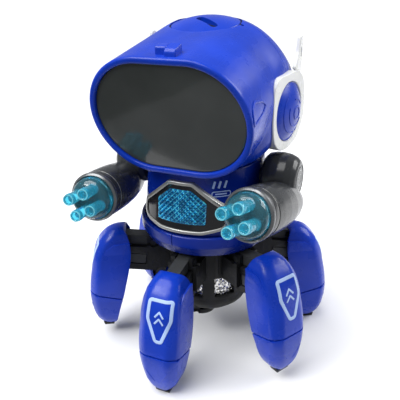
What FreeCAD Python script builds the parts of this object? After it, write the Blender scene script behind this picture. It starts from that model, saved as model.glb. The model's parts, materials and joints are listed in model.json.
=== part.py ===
import FreeCAD, Part
import math
import os
import re

import Sketcher
from FreeCAD import Placement, Rotation, Vector

# Six-legged toy robot: a domed helmet with a dark visor, a tapered torso with two blaster arms,
# and six legs that swing on parallel links round a drum-shaped base.
# Frame: Z up, floor at Z = 0 under the body axis, the visor looks along -Y,
# the robot's left is +X. Millimetres.

doc = FreeCAD.newDocument("toy_robot")
sheet = doc.addObject("Spreadsheet::Sheet", "dims")

SIZES = {
    # legs and their links
    "leg_count": 6, "swing_angle": 9.0, "link_length": 24.0, "link_rise": 13.2,
    "root_reach": 36.0, "root_height": 56.5, "arm_half_width": 6.5, "link_half_width": 4.1,
    "arm_rise": 9.2, "arm_drop": 7.5, "link_half_height": 3.2,
    "pin_radius": 2.0, "hole_radius": 2.05, "free_hole_radius": 2.0, "ear_thickness": 2.4,
    "arm_end_rise": 5.0, "arm_clearance": 0.9,
    "ear_gap": 0.3, "leg_wall": 1.8, "web_half_width": 4.8, "web_top": 41.5, "foot_height": 2.2,
    "groove_gap": 0.7, "groove_height": 30.5, "groove_reach": 79.4, "groove_slope": 15.5,
    # base drum
    "drum_radius": 27.0, "drum_wall": 1.8, "drum_floor": 36.0, "drum_top": 80.0,
    "deck_thickness": 2.0, "window_low": 38.5, "window_high": 52.0, "window_count": 8,
    "window_width": 13.4, "bowl_floor": 21.5, "axle_radius": 2.0, "axle_bore": 2.05,
    "reflector_radius": 24.9, "reflector_wall": 1.2, "reflector_low": 37.0, "reflector_high": 53.5,
    # drive
    "gear_module": 0.7, "gear_teeth": 32, "pinion_teeth": 12, "gear_low": 44.0, "gear_width": 4.0,
    "motor_low": 54.5, "motor_width": 15.0, "motor_depth": 19.0, "motor_bore": 1.05,
    "shaft_radius": 1.0, "cam_radius": 6.0, "cam_offset": 1.4,
    # waist and torso
    "skirt_radius": 42.0, "skirt_low": 75.5, "skirt_high": 89.0, "skirt_lip": 39.6,
    "torso_low": 82.3, "torso_shoulder": 89.0, "torso_high": 127.0, "torso_radius": 39.2,
    "torso_top_radius": 35.0, "torso_wall": 2.0, "panel_radius": 42.4, "panel_top_radius": 38.0,
    "panel_low": 90.0, "panel_high": 121.4, "neck_radius": 24.0, "neck_bore": 24.4,
    "cell_radius": 5.25, "cell_length": 44.5, "cell_pitch": 10.9,
    "door_width": 38.0, "door_low": 90.0, "door_high": 116.0,
    # arms
    "shoulder_y": -1.2, "shoulder_z": 116.7, "drum_x": 38.0, "hub_radius": 5.0, "hub_bore": 5.06,
    "fist_x": 52.7, "fist_drop": 13.1, "fist_yaw": 7.2, "fist_reach": 54.3,
    "left_pitch": 14.5, "right_pitch": 9.0, "ring_radius": 14.25, "ring_bore": 12.2,
    "barrel_radius": 3.15, "barrel_circle": 6.75, "barrel_reach": 16.2,
    # head
    "dome_y": 7.6, "dome_z": 153.0, "dome_radius": 51.6, "helmet_wall": 2.2, "side_x": 45.3,
    "helmet_floor": 129.5, "chin_radius": 17.0, "visor_tilt": 13.1, "visor_y": -49.8, "visor_z": 159.2,
    "rim_half_width": 45.9, "rim_half_height": 33.4, "lens_half_width": 42.5,
    "lens_half_height": 30.0, "lens_thickness": 2.5, "lens_recess": 1.4,
    "cap_radius": 19.7, "cap_gap": 0.35, "cap_tilt": 6.5, "slot_length": 17.0, "slot_width": 4.2,
    "ear_x": 48.8, "ear_y": 5.2, "ear_z": 154.3, "disc_radius": 16.3, "disc_height": 5.4,
}
for row, (alias, value) in enumerate(SIZES.items(), start=1):
    sheet.set("A%d" % row, alias)
    sheet.set("B%d" % row, str(value))
    sheet.setAlias("B%d" % row, alias)
doc.recompute()

NODES = {}


def size(alias):
    """The value of one driving dimension, read from the sheet."""
    return float(sheet.get(alias))


def formula(text):
    """A sheet expression, with each alias written out in full."""
    return re.sub(r"[a-z_]+[a-z0-9_]*",
                  lambda word: "dims." + word.group() if word.group() in SIZES else word.group(), str(text))


def bind(thing, **properties):
    for name, text in properties.items():
        thing.setExpression(name.replace("__", "."), formula(text))
    return thing


def node(name, thing, placement=None):
    """Register an object as a sub-part under its own label."""
    thing.Label = name
    if placement is not None:
        thing.Placement = placement
    NODES[name] = thing
    return thing


def put(thing, x=0, y=0, z=0, axis=None, angle=0):
    """Place an object; positions may be formulas of the sheet's dimensions."""
    if axis is not None:
        thing.Placement = Placement(Vector(0, 0, 0), Rotation(Vector(*axis), angle))
    bind(thing, Placement__Base__x=x, Placement__Base__y=y, Placement__Base__z=z)
    return thing


def box(length, width, height, **where):
    thing = doc.addObject("Part::Box", "box")
    bind(thing, Length=length, Width=width, Height=height)
    return put(thing, **where)


def cylinder(radius, height, **where):
    thing = doc.addObject("Part::Cylinder", "cylinder")
    bind(thing, Radius=radius, Height=height)
    return put(thing, **where)


def cone(low_radius, high_radius, height, **where):
    thing = doc.addObject("Part::Cone", "cone")
    bind(thing, Radius1=low_radius, Radius2=high_radius, Height=height)
    return put(thing, **where)


def fuse(*things):
    joined = doc.addObject("Part::MultiFuse", "fuse")
    joined.Shapes = list(things)
    return joined


def common(*things):
    joined = doc.addObject("Part::MultiCommon", "common")
    joined.Shapes = list(things)
    return joined


def cut(base, *tools):
    trimmed = doc.addObject("Part::Cut", "cut")
    trimmed.Base = base
    trimmed.Tool = tools[0] if len(tools) == 1 else fuse(*tools)
    return trimmed


def turned(thing, angle):
    """Turn an already placed object about the body axis."""
    base = thing.Placement.Base
    for end in ("x", "y", "z"):
        thing.setExpression("Placement.Base." + end, None)
    thing.Placement = Placement(Vector(0, 0, 0), Rotation(Vector(0, 0, 1), angle)).multiply(
        Placement(base, thing.Placement.Rotation))
    return thing


# ---------------------------------------------------------------- PartDesign helpers

def plane_of(body, role):
    return next(part for part in body.Origin.OriginFeatures if part.Role == role)


def outline(body, role, points, offset=0):
    """A closed sketch whose corners are formulas, on one of the body's own planes."""
    sketch = body.newObject("Sketcher::SketchObject", "outline")
    sketch.AttachmentSupport = [(plane_of(body, role), "")]
    sketch.MapMode = "FlatFace"
    if offset:
        sketch.setExpression("AttachmentOffset.Base.z", formula(offset))
    corners = [Vector(worth(x), worth(y), 0) for x, y in points]
    count = len(corners)
    for index, corner in enumerate(corners):
        sketch.addGeometry(Part.LineSegment(corner, corners[(index + 1) % count]), False)
    for index in range(count):
        sketch.addConstraint(Sketcher.Constraint("Coincident", index, 2, (index + 1) % count, 1))
    for index, (x, y) in enumerate(points):
        for kind, text in (("DistanceX", x), ("DistanceY", y)):
            number = sketch.addConstraint(Sketcher.Constraint(kind, index, 1, worth(text)))
            sketch.setExpression("Constraints[%d]" % number, formula(text))
    return sketch


def worth(text):
    """The present value of a formula."""
    return float(sheet.evalExpression(formula(text)))


def new_body():
    return doc.addObject("PartDesign::Body", "Body")


def pad(points, thickness, role="XZ_Plane", body=None, offset=0):
    """A slab with the given outline, half its thickness each side of the sketch plane."""
    body = body or new_body()
    feature = body.newObject("PartDesign::Pad", "pad")
    feature.Profile = outline(body, role, points, offset)
    feature.SideType = "Symmetric"
    bind(feature, Length=thickness)
    return body


def revolve(points, role="XZ_Plane"):
    """A turned piece: the outline's first coordinate is its radius, the second its height."""
    body = new_body()
    feature = body.newObject("PartDesign::Revolution", "turning")
    feature.Profile = outline(body, role, points)
    feature.ReferenceAxis = (feature.Profile[0], ["V_Axis"])
    feature.Angle = 360
    return body


def rod(body, radius, thickness, x, z):
    """Add a round bar along Y, centred on the XZ plane, to a body."""
    sketch = body.newObject("Sketcher::SketchObject", "circle")
    sketch.AttachmentSupport = [(plane_of(body, "XZ_Plane"), "")]
    sketch.MapMode = "FlatFace"
    sketch.addGeometry(Part.Circle(Vector(worth(x), worth(z), 0), Vector(0, 0, 1), worth(radius)), False)
    for kind, text in (("DistanceX", x), ("DistanceY", z)):
        number = sketch.addConstraint(Sketcher.Constraint(kind, 0, 3, worth(text)))
        sketch.setExpression("Constraints[%d]" % number, formula(text))
    number = sketch.addConstraint(Sketcher.Constraint("Radius", 0, worth(radius)))
    sketch.setExpression("Constraints[%d]" % number, formula(radius))
    feature = body.newObject("PartDesign::Pad", "rod")
    feature.Profile = sketch
    feature.SideType = "Symmetric"
    bind(feature, Length=thickness)
    return body


def free_form(shape):
    """A moulding whose surface no primitive or sketch feature describes."""
    thing = doc.addObject("Part::Feature", "moulding")
    thing.Shape = shape
    return thing


# ---------------------------------------------------------------- legs

# Each station of a leg: height, reach of its back edge, reach of its front, half its width.
LEG_STATIONS = [
    (2.2, 65.0, 73.8, 5.2), (4.5, 64.0, 75.4, 7.2), (10.0, 62.5, 77.6, 9.9), (18.0, 60.3, 79.0, 11.5),
    (27.0, 57.5, 79.4, 12.6), (36.0, 55.2, 78.5, 12.9), (48.0, 52.2, 75.9, 12.5), (58.0, 50.6, 72.6, 11.6),
    (65.0, 50.4, 69.4, 10.3), (70.0, 50.2, 65.0, 8.0), (73.0, 50.0, 60.5, 5.4), (74.2, 50.0, 56.5, 3.0),
]
BEVEL = 4.2
PANEL_SHARE = 0.6
# The frame inside a leg, as (reach, height) outlines; the neck passes through the tip's sole.
FOOT_EDGE = [(66.4, 0), (72.6, 0), (73.4, "foot_height"), (65.6, "foot_height")]
FOOT_INSET = 0.4
NECK_EDGE = [(66.6, "foot_height - 0.5"), (72.4, "foot_height - 0.5"), (72.4, 7.5), (66.6, 7.5)]
NECK_INSET = 1.2
WEB_EDGE = [(64.5, 7.3), (72.6, 7.3), (74.2, 14), (75.5, 22), (74.5, 40), (70.0, "web_top"),
            (57, "web_top"), (59.5, 22)]
BRIDGE_EDGE = [(56, "web_top - 4"), (66, "web_top - 4"), (66, "web_top"), (56, "web_top")]
SPLIT_LOW, SPLIT_HIGH = 20.0, 34.0


def leg_block(inset, low, high):
    """The leg's solid outer form between two heights, or the cavity inside it when inset."""
    def blend(height):
        below = [row for row in LEG_STATIONS if row[0] <= height][-1]
        above = [row for row in LEG_STATIONS if row[0] >= height][0]
        share = 0 if below is above else (height - below[0]) / (above[0] - below[0])
        return tuple(a + share * (b - a) for a, b in zip(below, above))

    heights = sorted({low, high} | {row[0] for row in LEG_STATIONS if low < row[0] < high})
    wires = []
    for height in heights:
        _, back, front, half = blend(height)
        front -= inset
        half -= inset
        back -= 3 * inset
        panel = PANEL_SHARE * half
        corners = [(back, -half), (front - BEVEL, -half), (front, -panel),
                   (front, panel), (front - BEVEL, half), (back, half)]
        wires.append(Part.makePolygon([Vector(x, y, height) for x, y in corners + corners[:1]]))
    return Part.makeLoft(wires, True, True)


def groove_side(above):
    """The space above or below the sloping groove that parts the shell from the tip."""
    span = 80.0
    start = size("groove_gap") / 2 if above else -size("groove_gap") / 2 - span
    slab = Part.makeBox(span, span, span, Vector(-span / 2, -span / 2, start))
    slab.rotate(Vector(0, 0, 0), Vector(0, 1, 0), -size("groove_slope"))
    slab.translate(Vector(size("groove_reach"), 0, size("groove_height")))
    return slab


def leg_shells():
    """The blue upper shell and tip of one leg, both hollow and open at the back."""
    wall, play = size("leg_wall"), 0.2
    bottom, top = LEG_STATIONS[0][0], LEG_STATIONS[-1][0]
    shell = leg_block(0, SPLIT_LOW, top).common(groove_side(True))
    shell = shell.cut(leg_block(wall, SPLIT_LOW - 2, top - wall))
    tip = leg_block(0, bottom, SPLIT_HIGH).common(groove_side(False))
    half = size("web_half_width") - NECK_INSET + play
    reaches = [reach for reach, height in NECK_EDGE]
    hole = Part.makeBox(max(reaches) - min(reaches) + 2 * play, 2 * half, 6,
                        Vector(min(reaches) - play, -half, bottom - 1.5))
    tip = tip.cut(leg_block(wall, bottom + 2.5, SPLIT_HIGH + 2)).cut(hole)
    return Part.makeCompound([shell.Solids[0], tip.Solids[0]])


def pin_ear(pin_x, low, top, reach, thickness):
    """An upright ear round a pin, its two top corners cut off."""
    corner = 1.5
    return pad([("%s - %s" % (pin_x, reach), low), ("%s + %s" % (pin_x, reach), low),
                ("%s + %s" % (pin_x, reach), "%s - %s" % (top, corner)), ("%s + %s" % (pin_x, corner), top),
                ("%s - %s" % (pin_x, corner), top), ("%s - %s" % (pin_x, reach), "%s - %s" % (top, corner))],
               thickness)


def leg_frame():
    """The black frame inside a leg: foot, web, and the ears that hold the arm and link pins."""
    pieces = [pad(FOOT_EDGE, "2 * (web_half_width - %s)" % FOOT_INSET),
              pad(NECK_EDGE, "2 * (web_half_width - %s)" % NECK_INSET), pad(WEB_EDGE, "2 * web_half_width"),
              pad(BRIDGE_EDGE, "2 * (arm_half_width + ear_gap + ear_thickness)")]
    pin_x = "root_reach + link_length * cos(swing_angle)"
    pin_z = "root_height - link_length * sin(swing_angle)"
    shelf = "%s + arm_end_rise + arm_clearance" % pin_z
    shelf_height, wide, narrow = 2.1, 4.5, 2.5
    for side in (-1, 1):
        for gap, low, top, reach in (
                ("arm_half_width", "web_top - 2", "%s + %s" % (shelf, shelf_height), wide),
                ("link_half_width", shelf, "%s + link_rise + %s" % (pin_z, narrow), narrow)):
            ear = pin_ear(pin_x, low, top, reach, "ear_thickness")
            pieces.append(put(ear, y="%d * (%s + ear_gap + ear_thickness / 2)" % (side, gap)))
        inner = "link_half_width + ear_gap"
        pieces.append(box(2 * narrow, "ear_thickness + 2", shelf_height, x="%s - %s" % (pin_x, narrow),
                          y=inner if side > 0 else "-(%s) - ear_thickness - 2" % inner, z=shelf))
    bores = []
    for radius, rise in (("hole_radius", 0), ("free_hole_radius", "link_rise")):
        bores.append(cylinder(radius, 30, x=pin_x, y=15, z="%s + %s" % (pin_z, rise),
                              axis=(1, 0, 0), angle=90))
    return cut(fuse(*pieces), *bores)


def lower_arm():
    """The wide black arm, its root pin on its own origin and its outer pin at link_length."""
    low, high, half = "-arm_drop", "arm_rise", "2 * arm_half_width"
    arm = pad([(-5.6, -3.5), (-2, low), ("link_length + 3", low), ("link_length + 6.8", -4),
               ("link_length + 6.8", 3), ("link_length + 5", "arm_end_rise"),
               ("link_length - 5.5", "arm_end_rise"), ("link_length - 8", high), (-1.5, high),
               (-5.6, 5)], half)
    for x in (0, "link_length"):
        rod(arm, "pin_radius", "2 * (arm_half_width + ear_gap + ear_thickness)", x, 0)
    recesses = []
    for side in (-1, 1):
        recesses.append(box("link_length - 12", 1.2, 7.5, x=5, z=-3.2,
                            y="%d * (arm_half_width - 0.5) - 0.6" % side))
    return cut(arm, *recesses)


def upper_link():
    """The slim link above the arm, with a window near its outer end."""
    tall = "link_half_height"
    link = pad([(-2, "-" + tall), ("link_length + 2", "-" + tall), ("link_length + " + tall, -2),
                ("link_length + " + tall, 2), ("link_length + 2", tall), (-2, tall),
                ("-" + tall, 2), ("-" + tall, -2)], "2 * link_half_width")
    rod(link, "pin_radius", "2 * (link_half_width + ear_gap + ear_thickness)", 0, 0)
    rod(link, "pin_radius - 0.3", "2 * (link_half_width + ear_gap + ear_thickness)", "link_length", 0)
    window = box(5.4, "2 * link_half_width + 2", 4.0, x="link_length - 9.2", y="-link_half_width - 1", z=-2)
    return cut(link, window)


def leg_placement(index, lift=0.0, reach=0.0, height=0.0, swing=0.0):
    """The place of a leg piece: turned round the body, then out, up and swung about its pin."""
    turn = Rotation(Vector(0, 0, 1), 360.0 / size("leg_count") * index - 90)
    out = turn.multVec(Vector(reach, 0, height + lift))
    return Placement(out, turn.multiply(Rotation(Vector(0, 1, 0), -swing)))


def build_legs():
    lift = 2 * size("link_length") * math.sin(math.radians(size("swing_angle")))
    shells = leg_shells()
    for index in range(int(size("leg_count"))):
        raised = index % 2 == 1
        swing = size("swing_angle") * (1 if raised else -1)
        root, height = size("root_reach"), size("root_height")
        place = leg_placement(index, lift if raised else 0.0)
        tag = "_%d" % (index + 1)
        node("leg_frame" + tag, leg_frame(), place)
        node("leg_shell" + tag, free_form(shells.copy()), place)
        node("lower_arm" + tag, lower_arm(), leg_placement(index, 0, root, height, swing))
        upper = height + size("link_rise")
        node("upper_link" + tag, upper_link(), leg_placement(index, 0, root, upper, swing))


# ---------------------------------------------------------------- base drum

def base_housing():
    """The black drum with its windows, top deck and the ears for the legs."""
    wall = cut(cylinder("drum_radius", "drum_top - drum_floor", z="drum_floor"),
               cylinder("drum_radius - drum_wall", "drum_top - drum_floor + 2", z="drum_floor - 1"))
    deck = cylinder("drum_radius - drum_wall / 2", "deck_thickness", z="drum_top - deck_thickness")
    hub = cylinder(4, 6, z="drum_top - 6")
    reach = "root_reach + 4 - drum_radius + 1.6"
    shelf = "root_height + arm_rise + arm_clearance"
    ears = []
    holes = [cylinder("axle_bore", 12, z="drum_top - 11")]
    for leg in range(int(size("leg_count"))):
        angle = 360.0 / size("leg_count") * leg - 90
        for side in (-1, 1):
            for gap, low, high in (("arm_half_width", "root_height - 4", shelf + " + 2.2"),
                                   ("link_half_width", shelf, "root_height + link_rise + 3.9")):
                inner = "%s + ear_gap" % gap
                ear = box(reach, "ear_thickness", "%s - (%s)" % (high, low), x="drum_radius - 1.6", z=low,
                          y=inner if side > 0 else "-(%s) - ear_thickness" % inner)
                ears.append(turned_box(ear, angle))
            ledge = box(reach, "arm_half_width - link_half_width + ear_thickness", 2.2,
                        x="drum_radius - 1.6", z=shelf,
                        y="link_half_width + ear_gap" if side > 0
                        else "-(arm_half_width + ear_gap + ear_thickness)")
            ears.append(turned_box(ledge, angle))
        for rise in (0, "link_rise"):
            hole = cylinder("hole_radius", 24, x="root_reach", y=12, z="root_height + %s" % rise,
                            axis=(1, 0, 0), angle=90)
            holes.append(turned_box(hole, angle))
    for window in range(int(size("window_count"))):
        opening = box(8, "window_width", "window_high - window_low", x="drum_radius - 5",
                      y="-window_width / 2", z="window_low")
        holes.append(turned_box(opening, 360.0 / size("window_count") * window - 90))
    for x, y in screw_places():
        holes.append(cylinder(1.35, 10, x=x, y=y, z="drum_floor - 1"))
    pillars = [cylinder(3.0, 7, x=x, y=y, z="drum_floor") for x, y in screw_places()]
    return cut(fuse(wall, deck, hub, *(ears + pillars)), *holes)


def turned_box(thing, angle):
    """Turn an object that was placed by formulas about the body axis."""
    doc.recompute([thing])
    return turned(thing, angle)


def screw_places():
    """The three screws that hold the bowl, on a circle inside the drum wall."""
    reach = size("drum_radius") - size("drum_wall") - 3.2
    spots = []
    for turn in (30, 150, 270):
        spots.append((reach * math.cos(math.radians(turn)), reach * math.sin(math.radians(turn))))
    return spots


def base_plate():
    """The bowl that closes the drum from below, with the axle's bearing in its middle."""
    floor, rim = "bowl_floor", "drum_floor"
    bowl = revolve([("axle_bore", floor + " + 8"), (4, floor + " + 8"), (4, floor + " + 1.8"),
                    (11.4, floor + " + 1.8"), (18.0, floor + " + 4.2"), (22.6, floor + " + 8"),
                    (24.9, floor + " + 12.0"), ("drum_radius - drum_wall", rim), ("drum_radius", rim),
                    (26.4, floor + " + 11"), (24.2, floor + " + 6.8"), (19.0, floor + " + 2.4"),
                    (12.0, floor), (0, floor), (0, floor + " + 1.8"), ("axle_bore", floor + " + 1.8")])
    posts = [cylinder(3.0, 8.5, x=x, y=y, z="drum_floor - 8.5") for x, y in screw_places()]
    lobe = cylinder(9.0, 3.0, x=0, y=-13.0, z="bowl_floor + 0.2")
    bores = [cylinder(1.35, 18, x=x, y=y, z="drum_floor - 17") for x, y in screw_places()]
    heads = [cylinder(2.6, 8, x=x, y=y, z="drum_floor - 14") for x, y in screw_places()]
    return cut(fuse(bowl, lobe, *posts), *(bores + heads))


def base_screws():
    """Three pan-head screws, one node."""
    shanks = []
    for x, y in screw_places():
        shank = cylinder(1.3, 11, x=x, y=y, z="drum_floor - 6")
        head = cylinder(2.4, 1.7, x=x, y=y, z="drum_floor - 7.7")
        slot = box(4.0, 0.7, 0.9, x=x - 2.0, y=y - 0.35, z="drum_floor - 7.8")
        shanks.append(cut(fuse(shank, head), slot))
    group = doc.addObject("Part::Compound", "screws")
    group.Links = shanks
    return group


def reflector_ring():
    """A faceted silver ring behind the windows."""
    rings = []
    for radius, extra in (("reflector_radius", 0), ("reflector_radius - reflector_wall", 1)):
        prism = doc.addObject("Part::Prism", "prism")
        prism.Polygon = 24
        bind(prism, Circumradius=radius, Height="reflector_high - reflector_low + %d" % (2 * extra))
        rings.append(put(prism, z="reflector_low - %d" % extra))
    clearances = [cylinder(3.4, 9, x=x, y=y, z="drum_floor") for x, y in screw_places()]
    return cut(rings[0], rings[1], *clearances)


def gear_blank(teeth, phase):
    """A spur gear's outline with tapering teeth, as a face on the XY plane."""
    module = size("gear_module")
    pitch = module * teeth / 2
    levels = ((pitch - 1.35 * module, 0.30), (pitch, 0.215), (pitch + 0.85 * module, 0.11))
    corners = []
    step = 2 * math.pi / teeth
    for tooth in range(teeth):
        middle = tooth * step + phase
        flanks = [(radius, middle - share * step) for radius, share in levels]
        flanks += [(radius, middle + share * step) for radius, share in reversed(levels)]
        corners += [Vector(radius * math.cos(turn), radius * math.sin(turn), 0) for radius, turn in flanks]
    return Part.Face(Part.makePolygon(corners + corners[:1]))


def drive_gear():
    """The large gear, its axle and the off-centre cam that works the legs."""
    wheel = free_form(gear_blank(int(size("gear_teeth")), 0).extrude(Vector(0, 0, size("gear_width"))))
    put(wheel, z="gear_low")
    axle = cylinder("axle_radius", "drum_top - 1 - bowl_floor - 2.2", z="bowl_floor + 2.2")
    cam = cylinder("cam_radius", 4, x=0, y="cam_offset", z=66)
    boss = cylinder(3.6, 3, z="gear_low + gear_width")
    return fuse(wheel, axle, cam, boss)


def centre_distance():
    return size("gear_module") * (size("gear_teeth") + size("pinion_teeth")) / 2


def motor_pinion():
    teeth = int(size("pinion_teeth"))
    wheel = free_form(gear_blank(teeth, math.pi / teeth).extrude(Vector(0, 0, size("gear_width") + 1)))
    put(wheel, z="gear_low - 0.5")
    shaft = cylinder("shaft_radius", "motor_low + 5 - gear_low", z="gear_low - 0.5")
    return node("motor_pinion", fuse(wheel, shaft), Placement(Vector(centre_distance(), 0, 0), Rotation()))


def drive_motor():
    """A flat-sided can motor hanging under the deck, its shaft hole facing down."""
    distance = centre_distance()
    height = "drum_top - deck_thickness - motor_low"
    can = common(box("motor_width", "motor_depth", height, x=distance - size("motor_width") / 2,
                     y="-motor_depth / 2", z="motor_low"),
                 cylinder("motor_depth / 2 + 1.2", height, x=distance, z="motor_low"))
    return cut(can, cylinder("motor_bore", 6, x=distance, z="motor_low - 0.5"))


# ---------------------------------------------------------------- waist and torso

def waist_skirt():
    """The blue ring under the torso, with its sloping lower edge and inner flange."""
    ring = revolve([(12, "drum_top"), (38.9, "drum_top"), (36.9, "skirt_low"), (38.5, "skirt_low"),
                    ("skirt_radius", 82), ("skirt_radius", 88.2), (41.2, "skirt_high"),
                    ("skirt_lip", "skirt_high"), ("skirt_lip", "torso_low - 0.3"), (12, "torso_low - 0.3")])
    seam = box(1.2, 0.5, 14, x="skirt_radius - 0.4", y=-0.25, z=75)
    doc.recompute([seam])
    return cut(ring, turned(seam, -97))


def torso_solid(inset, low, high):
    """The torso's tapering form, or the space inside it when inset."""
    straight = cylinder("torso_radius - %s" % inset, "torso_shoulder - (%s) + 0.01" % low, z=low)
    taper = cone("torso_radius - %s" % inset, "torso_top_radius - %s" % inset,
                 "torso_high - torso_shoulder", z="torso_shoulder")
    return common(fuse(straight, taper), cylinder(60, "%s - (%s)" % (high, low), z=low))


def torso_half(front):
    wall = "torso_wall"
    hollow = cut(torso_solid(0, "torso_low", "torso_high"),
                 torso_solid(wall, "torso_low + 1.6", "torso_high - 1.8"))
    reach = 60
    side = box(2 * reach, reach, 80, x=-reach, z=70,
               y="shoulder_y - %d" % reach if front else "shoulder_y")
    holes = [cylinder("hub_bore", 100, x=-50, y="shoulder_y", z="shoulder_z", axis=(0, 1, 0), angle=90)]
    if front:
        holes.append(box(27, 12, 12, x=-13.5, y=-42, z=99))
    else:
        holes.append(box("door_width + 0.6", 20, "door_high - door_low + 0.6", x="-door_width / 2 - 0.3",
                         y=24, z="door_low - 0.3"))
        holes.append(box(10, 12, 3.2, x=-5, y=28, z=120.4))
    return cut(common(hollow, side), *holes)


def battery_door():
    low, high = "torso_low", "torso_high"
    shell = cut(torso_solid(0, low, high), torso_solid("torso_wall", low, high))
    ribs = [box(16, 3, 0.9, x=-8, y=35.2, z=low) for low in (108, 110.5, 113)]
    grips = common(fuse(*ribs), torso_solid("-0.5", low, high))
    opening = box("door_width", 20, "door_high - door_low", x="-door_width / 2", y=24, z="door_low")
    return fuse(common(shell, opening), grips)


def battery_cells():
    cells = []
    for row in range(3):
        height = "door_low + 2.2 + %d * cell_pitch + cell_radius" % row
        body = cylinder("cell_radius", "cell_length - 1", x="-cell_length / 2", y=18, z=height,
                        axis=(0, 1, 0), angle=90)
        tip = cylinder(1.9, 1.0, x="cell_length / 2 - 1", y=18, z=height, axis=(0, 1, 0), angle=90)
        cells.append(fuse(body, tip))
    group = doc.addObject("Part::Compound", "cells")
    group.Links = cells
    return group


def power_switch():
    knob = box(4, 6.4, 2.6, x=-4.6, y=31.5, z=120.7)
    slider = box(9, 1.6, 4.6, x=-7.1, y=30.4, z=119.7)
    return fuse(knob, slider)


PANEL_EDGE = [(-7.6, 121.2), (7.6, 121.2), (26.8, 105.0), (27.4, 97.5), (24.5, 93.6),
              (13.0, 91.2), (-13.0, 91.2), (-24.5, 93.6), (-27.4, 97.5), (-26.8, 105.0)]
LENS_EDGE = [(-7.0, 114.6), (7.0, 114.6), (15.0, 108.6), (14.6, 98.4), (-14.6, 98.4), (-15.0, 108.6)]


def shrunk(points, margin):
    """An outline drawn in by a margin, each edge moved square to itself."""
    wire = Part.makePolygon([Vector(x, 0, z) for x, z in points + points[:1]])
    inner = wire.makeOffset2D(-margin, join=2)
    return [(vertex.X, vertex.Z) for vertex in inner.OrderedVertexes]


def panel_piece(points, under, over, opening=None):
    """A plate on the front of the torso: an outline run through a conical layer."""
    layer = cut(cone("panel_radius + %f" % over, "panel_top_radius + %f" % over,
                     "panel_high - panel_low + 1.2", z="panel_low"),
                cone("panel_radius + %f" % under, "panel_top_radius + %f" % under,
                     "panel_high - panel_low + 1.2", z="panel_low"))
    column = free_form(Part.Face(Part.makePolygon([Vector(x, -20, z) for x, z in points + points[:1]]))
                       .extrude(Vector(0, -30, 0)))
    plate = common(layer, column)
    if opening:
        hole = free_form(Part.Face(Part.makePolygon([Vector(x, -18, z) for x, z in opening + opening[:1]]))
                         .extrude(Vector(0, -34, 0)))
        plate = cut(plate, hole)
    return plate


def neck_collar():
    """The hollow neck on the torso, with the flange that keeps the helmet on it."""
    base = "torso_high"
    return revolve([(9, base), ("neck_radius", base), ("neck_radius", base + " + 5.2"),
                    (29, base + " + 5.2"), (29, base + " + 7.2"), (9, base + " + 7.2")])


# ---------------------------------------------------------------- arms

def shoulder_drum(side):
    """The rounded drum of a shoulder; its hub runs in the torso wall."""
    start = size("drum_x")
    profile = [(0, start - 9), ("hub_radius", start - 9), ("hub_radius", start), (11.8, start),
               (13.9, start + 2), (14.8, start + 5.5), (15, start + 9.5), (14.4, start + 14),
               (12.9, start + 17.6), (11, start + 19.6), (9.6, start + 20.2), (0, start + 20.2)]
    drum = revolve(profile)
    drum.Placement = Placement(Vector(0, 0, 0), Rotation(Vector(0, 1, 0), 90 * side))
    return drum


def fist_placement(side):
    """Where a forearm's own axis sits beside and under its shoulder: its +Z runs forward."""
    yaw = Rotation(Vector(0, 0, 1), -side * size("fist_yaw"))
    forward = Rotation(Vector(1, 0, 0), 90)
    return Placement(Vector(side * size("fist_x"), 0, -size("fist_drop")), yaw.multiply(forward))


def forearm(side):
    reach = "fist_reach"
    profile = [(0, -9), (4.2, -8.6), (7.2, -6), (9.6, 0), (11.7, 8), (13.2, 18), (14.0, 29),
               (14.2, 38), (13.9, 45.4), (13.5, 45.8), (13.9, 46.2), (13.6, reach + " - 4.0"),
               (11.0, reach + " - 4.0"), (11.0, 30), (0, 30)]
    sleeve = revolve(profile)
    sleeve.Placement = fist_placement(side)
    drum = shoulder_drum(side)
    return cut(sleeve, drum)


def muzzle_ring(side):
    reach = "fist_reach"
    ring = revolve([("ring_bore", reach + " - 4"), ("ring_radius - 0.5", reach + " - 4"),
                    ("ring_radius", reach + " - 2.6"), ("ring_radius - 0.2", reach + " - 0.8"),
                    ("ring_radius - 1.2", reach), ("ring_bore + 0.5", reach),
                    ("ring_bore", reach + " - 0.6")])
    ring.Placement = fist_placement(side)
    return ring


def blaster_lens(side):
    """The clear domed front of an arm with its four barrels."""
    reach = "fist_reach"
    rim = "ring_bore - 0.05"
    dome = revolve([(0, reach + " - 4"), (rim, reach + " - 4"), (rim, reach + " + 1"),
                    (11.4, reach + " + 3.6"), (9.6, reach + " + 5.4"), (6.5, reach + " + 6.6"),
                    (0, reach + " + 7.2")])
    barrels = []
    for quarter in range(4):
        turn = math.radians(90 * quarter + 70)
        place = {"x": size("barrel_circle") * math.cos(turn), "y": size("barrel_circle") * math.sin(turn)}
        tube = cylinder("barrel_radius", "barrel_reach - 3", z=reach + " + 3", **place)
        mouth = cylinder("barrel_radius - 1.1", 4, z=reach + " + barrel_reach - 2.5", **place)
        barrels.append(cut(tube, mouth))
    lens = fuse(dome, *barrels)
    lens.Placement = fist_placement(side)
    return lens


def build_arms():
    for side, word, pitch in ((1, "left", "left_pitch"), (-1, "right", "right_pitch")):
        pivot = Placement(Vector(0, size("shoulder_y"), size("shoulder_z")),
                          Rotation(Vector(1, 0, 0), -size(pitch)))
        for name, make in (("shoulder_", shoulder_drum), ("forearm_", forearm),
                           ("muzzle_ring_", muzzle_ring), ("blaster_lens_", blaster_lens)):
            piece = make(side)
            node(name + word, piece, pivot.multiply(piece.Placement))


# ---------------------------------------------------------------- head

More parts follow.
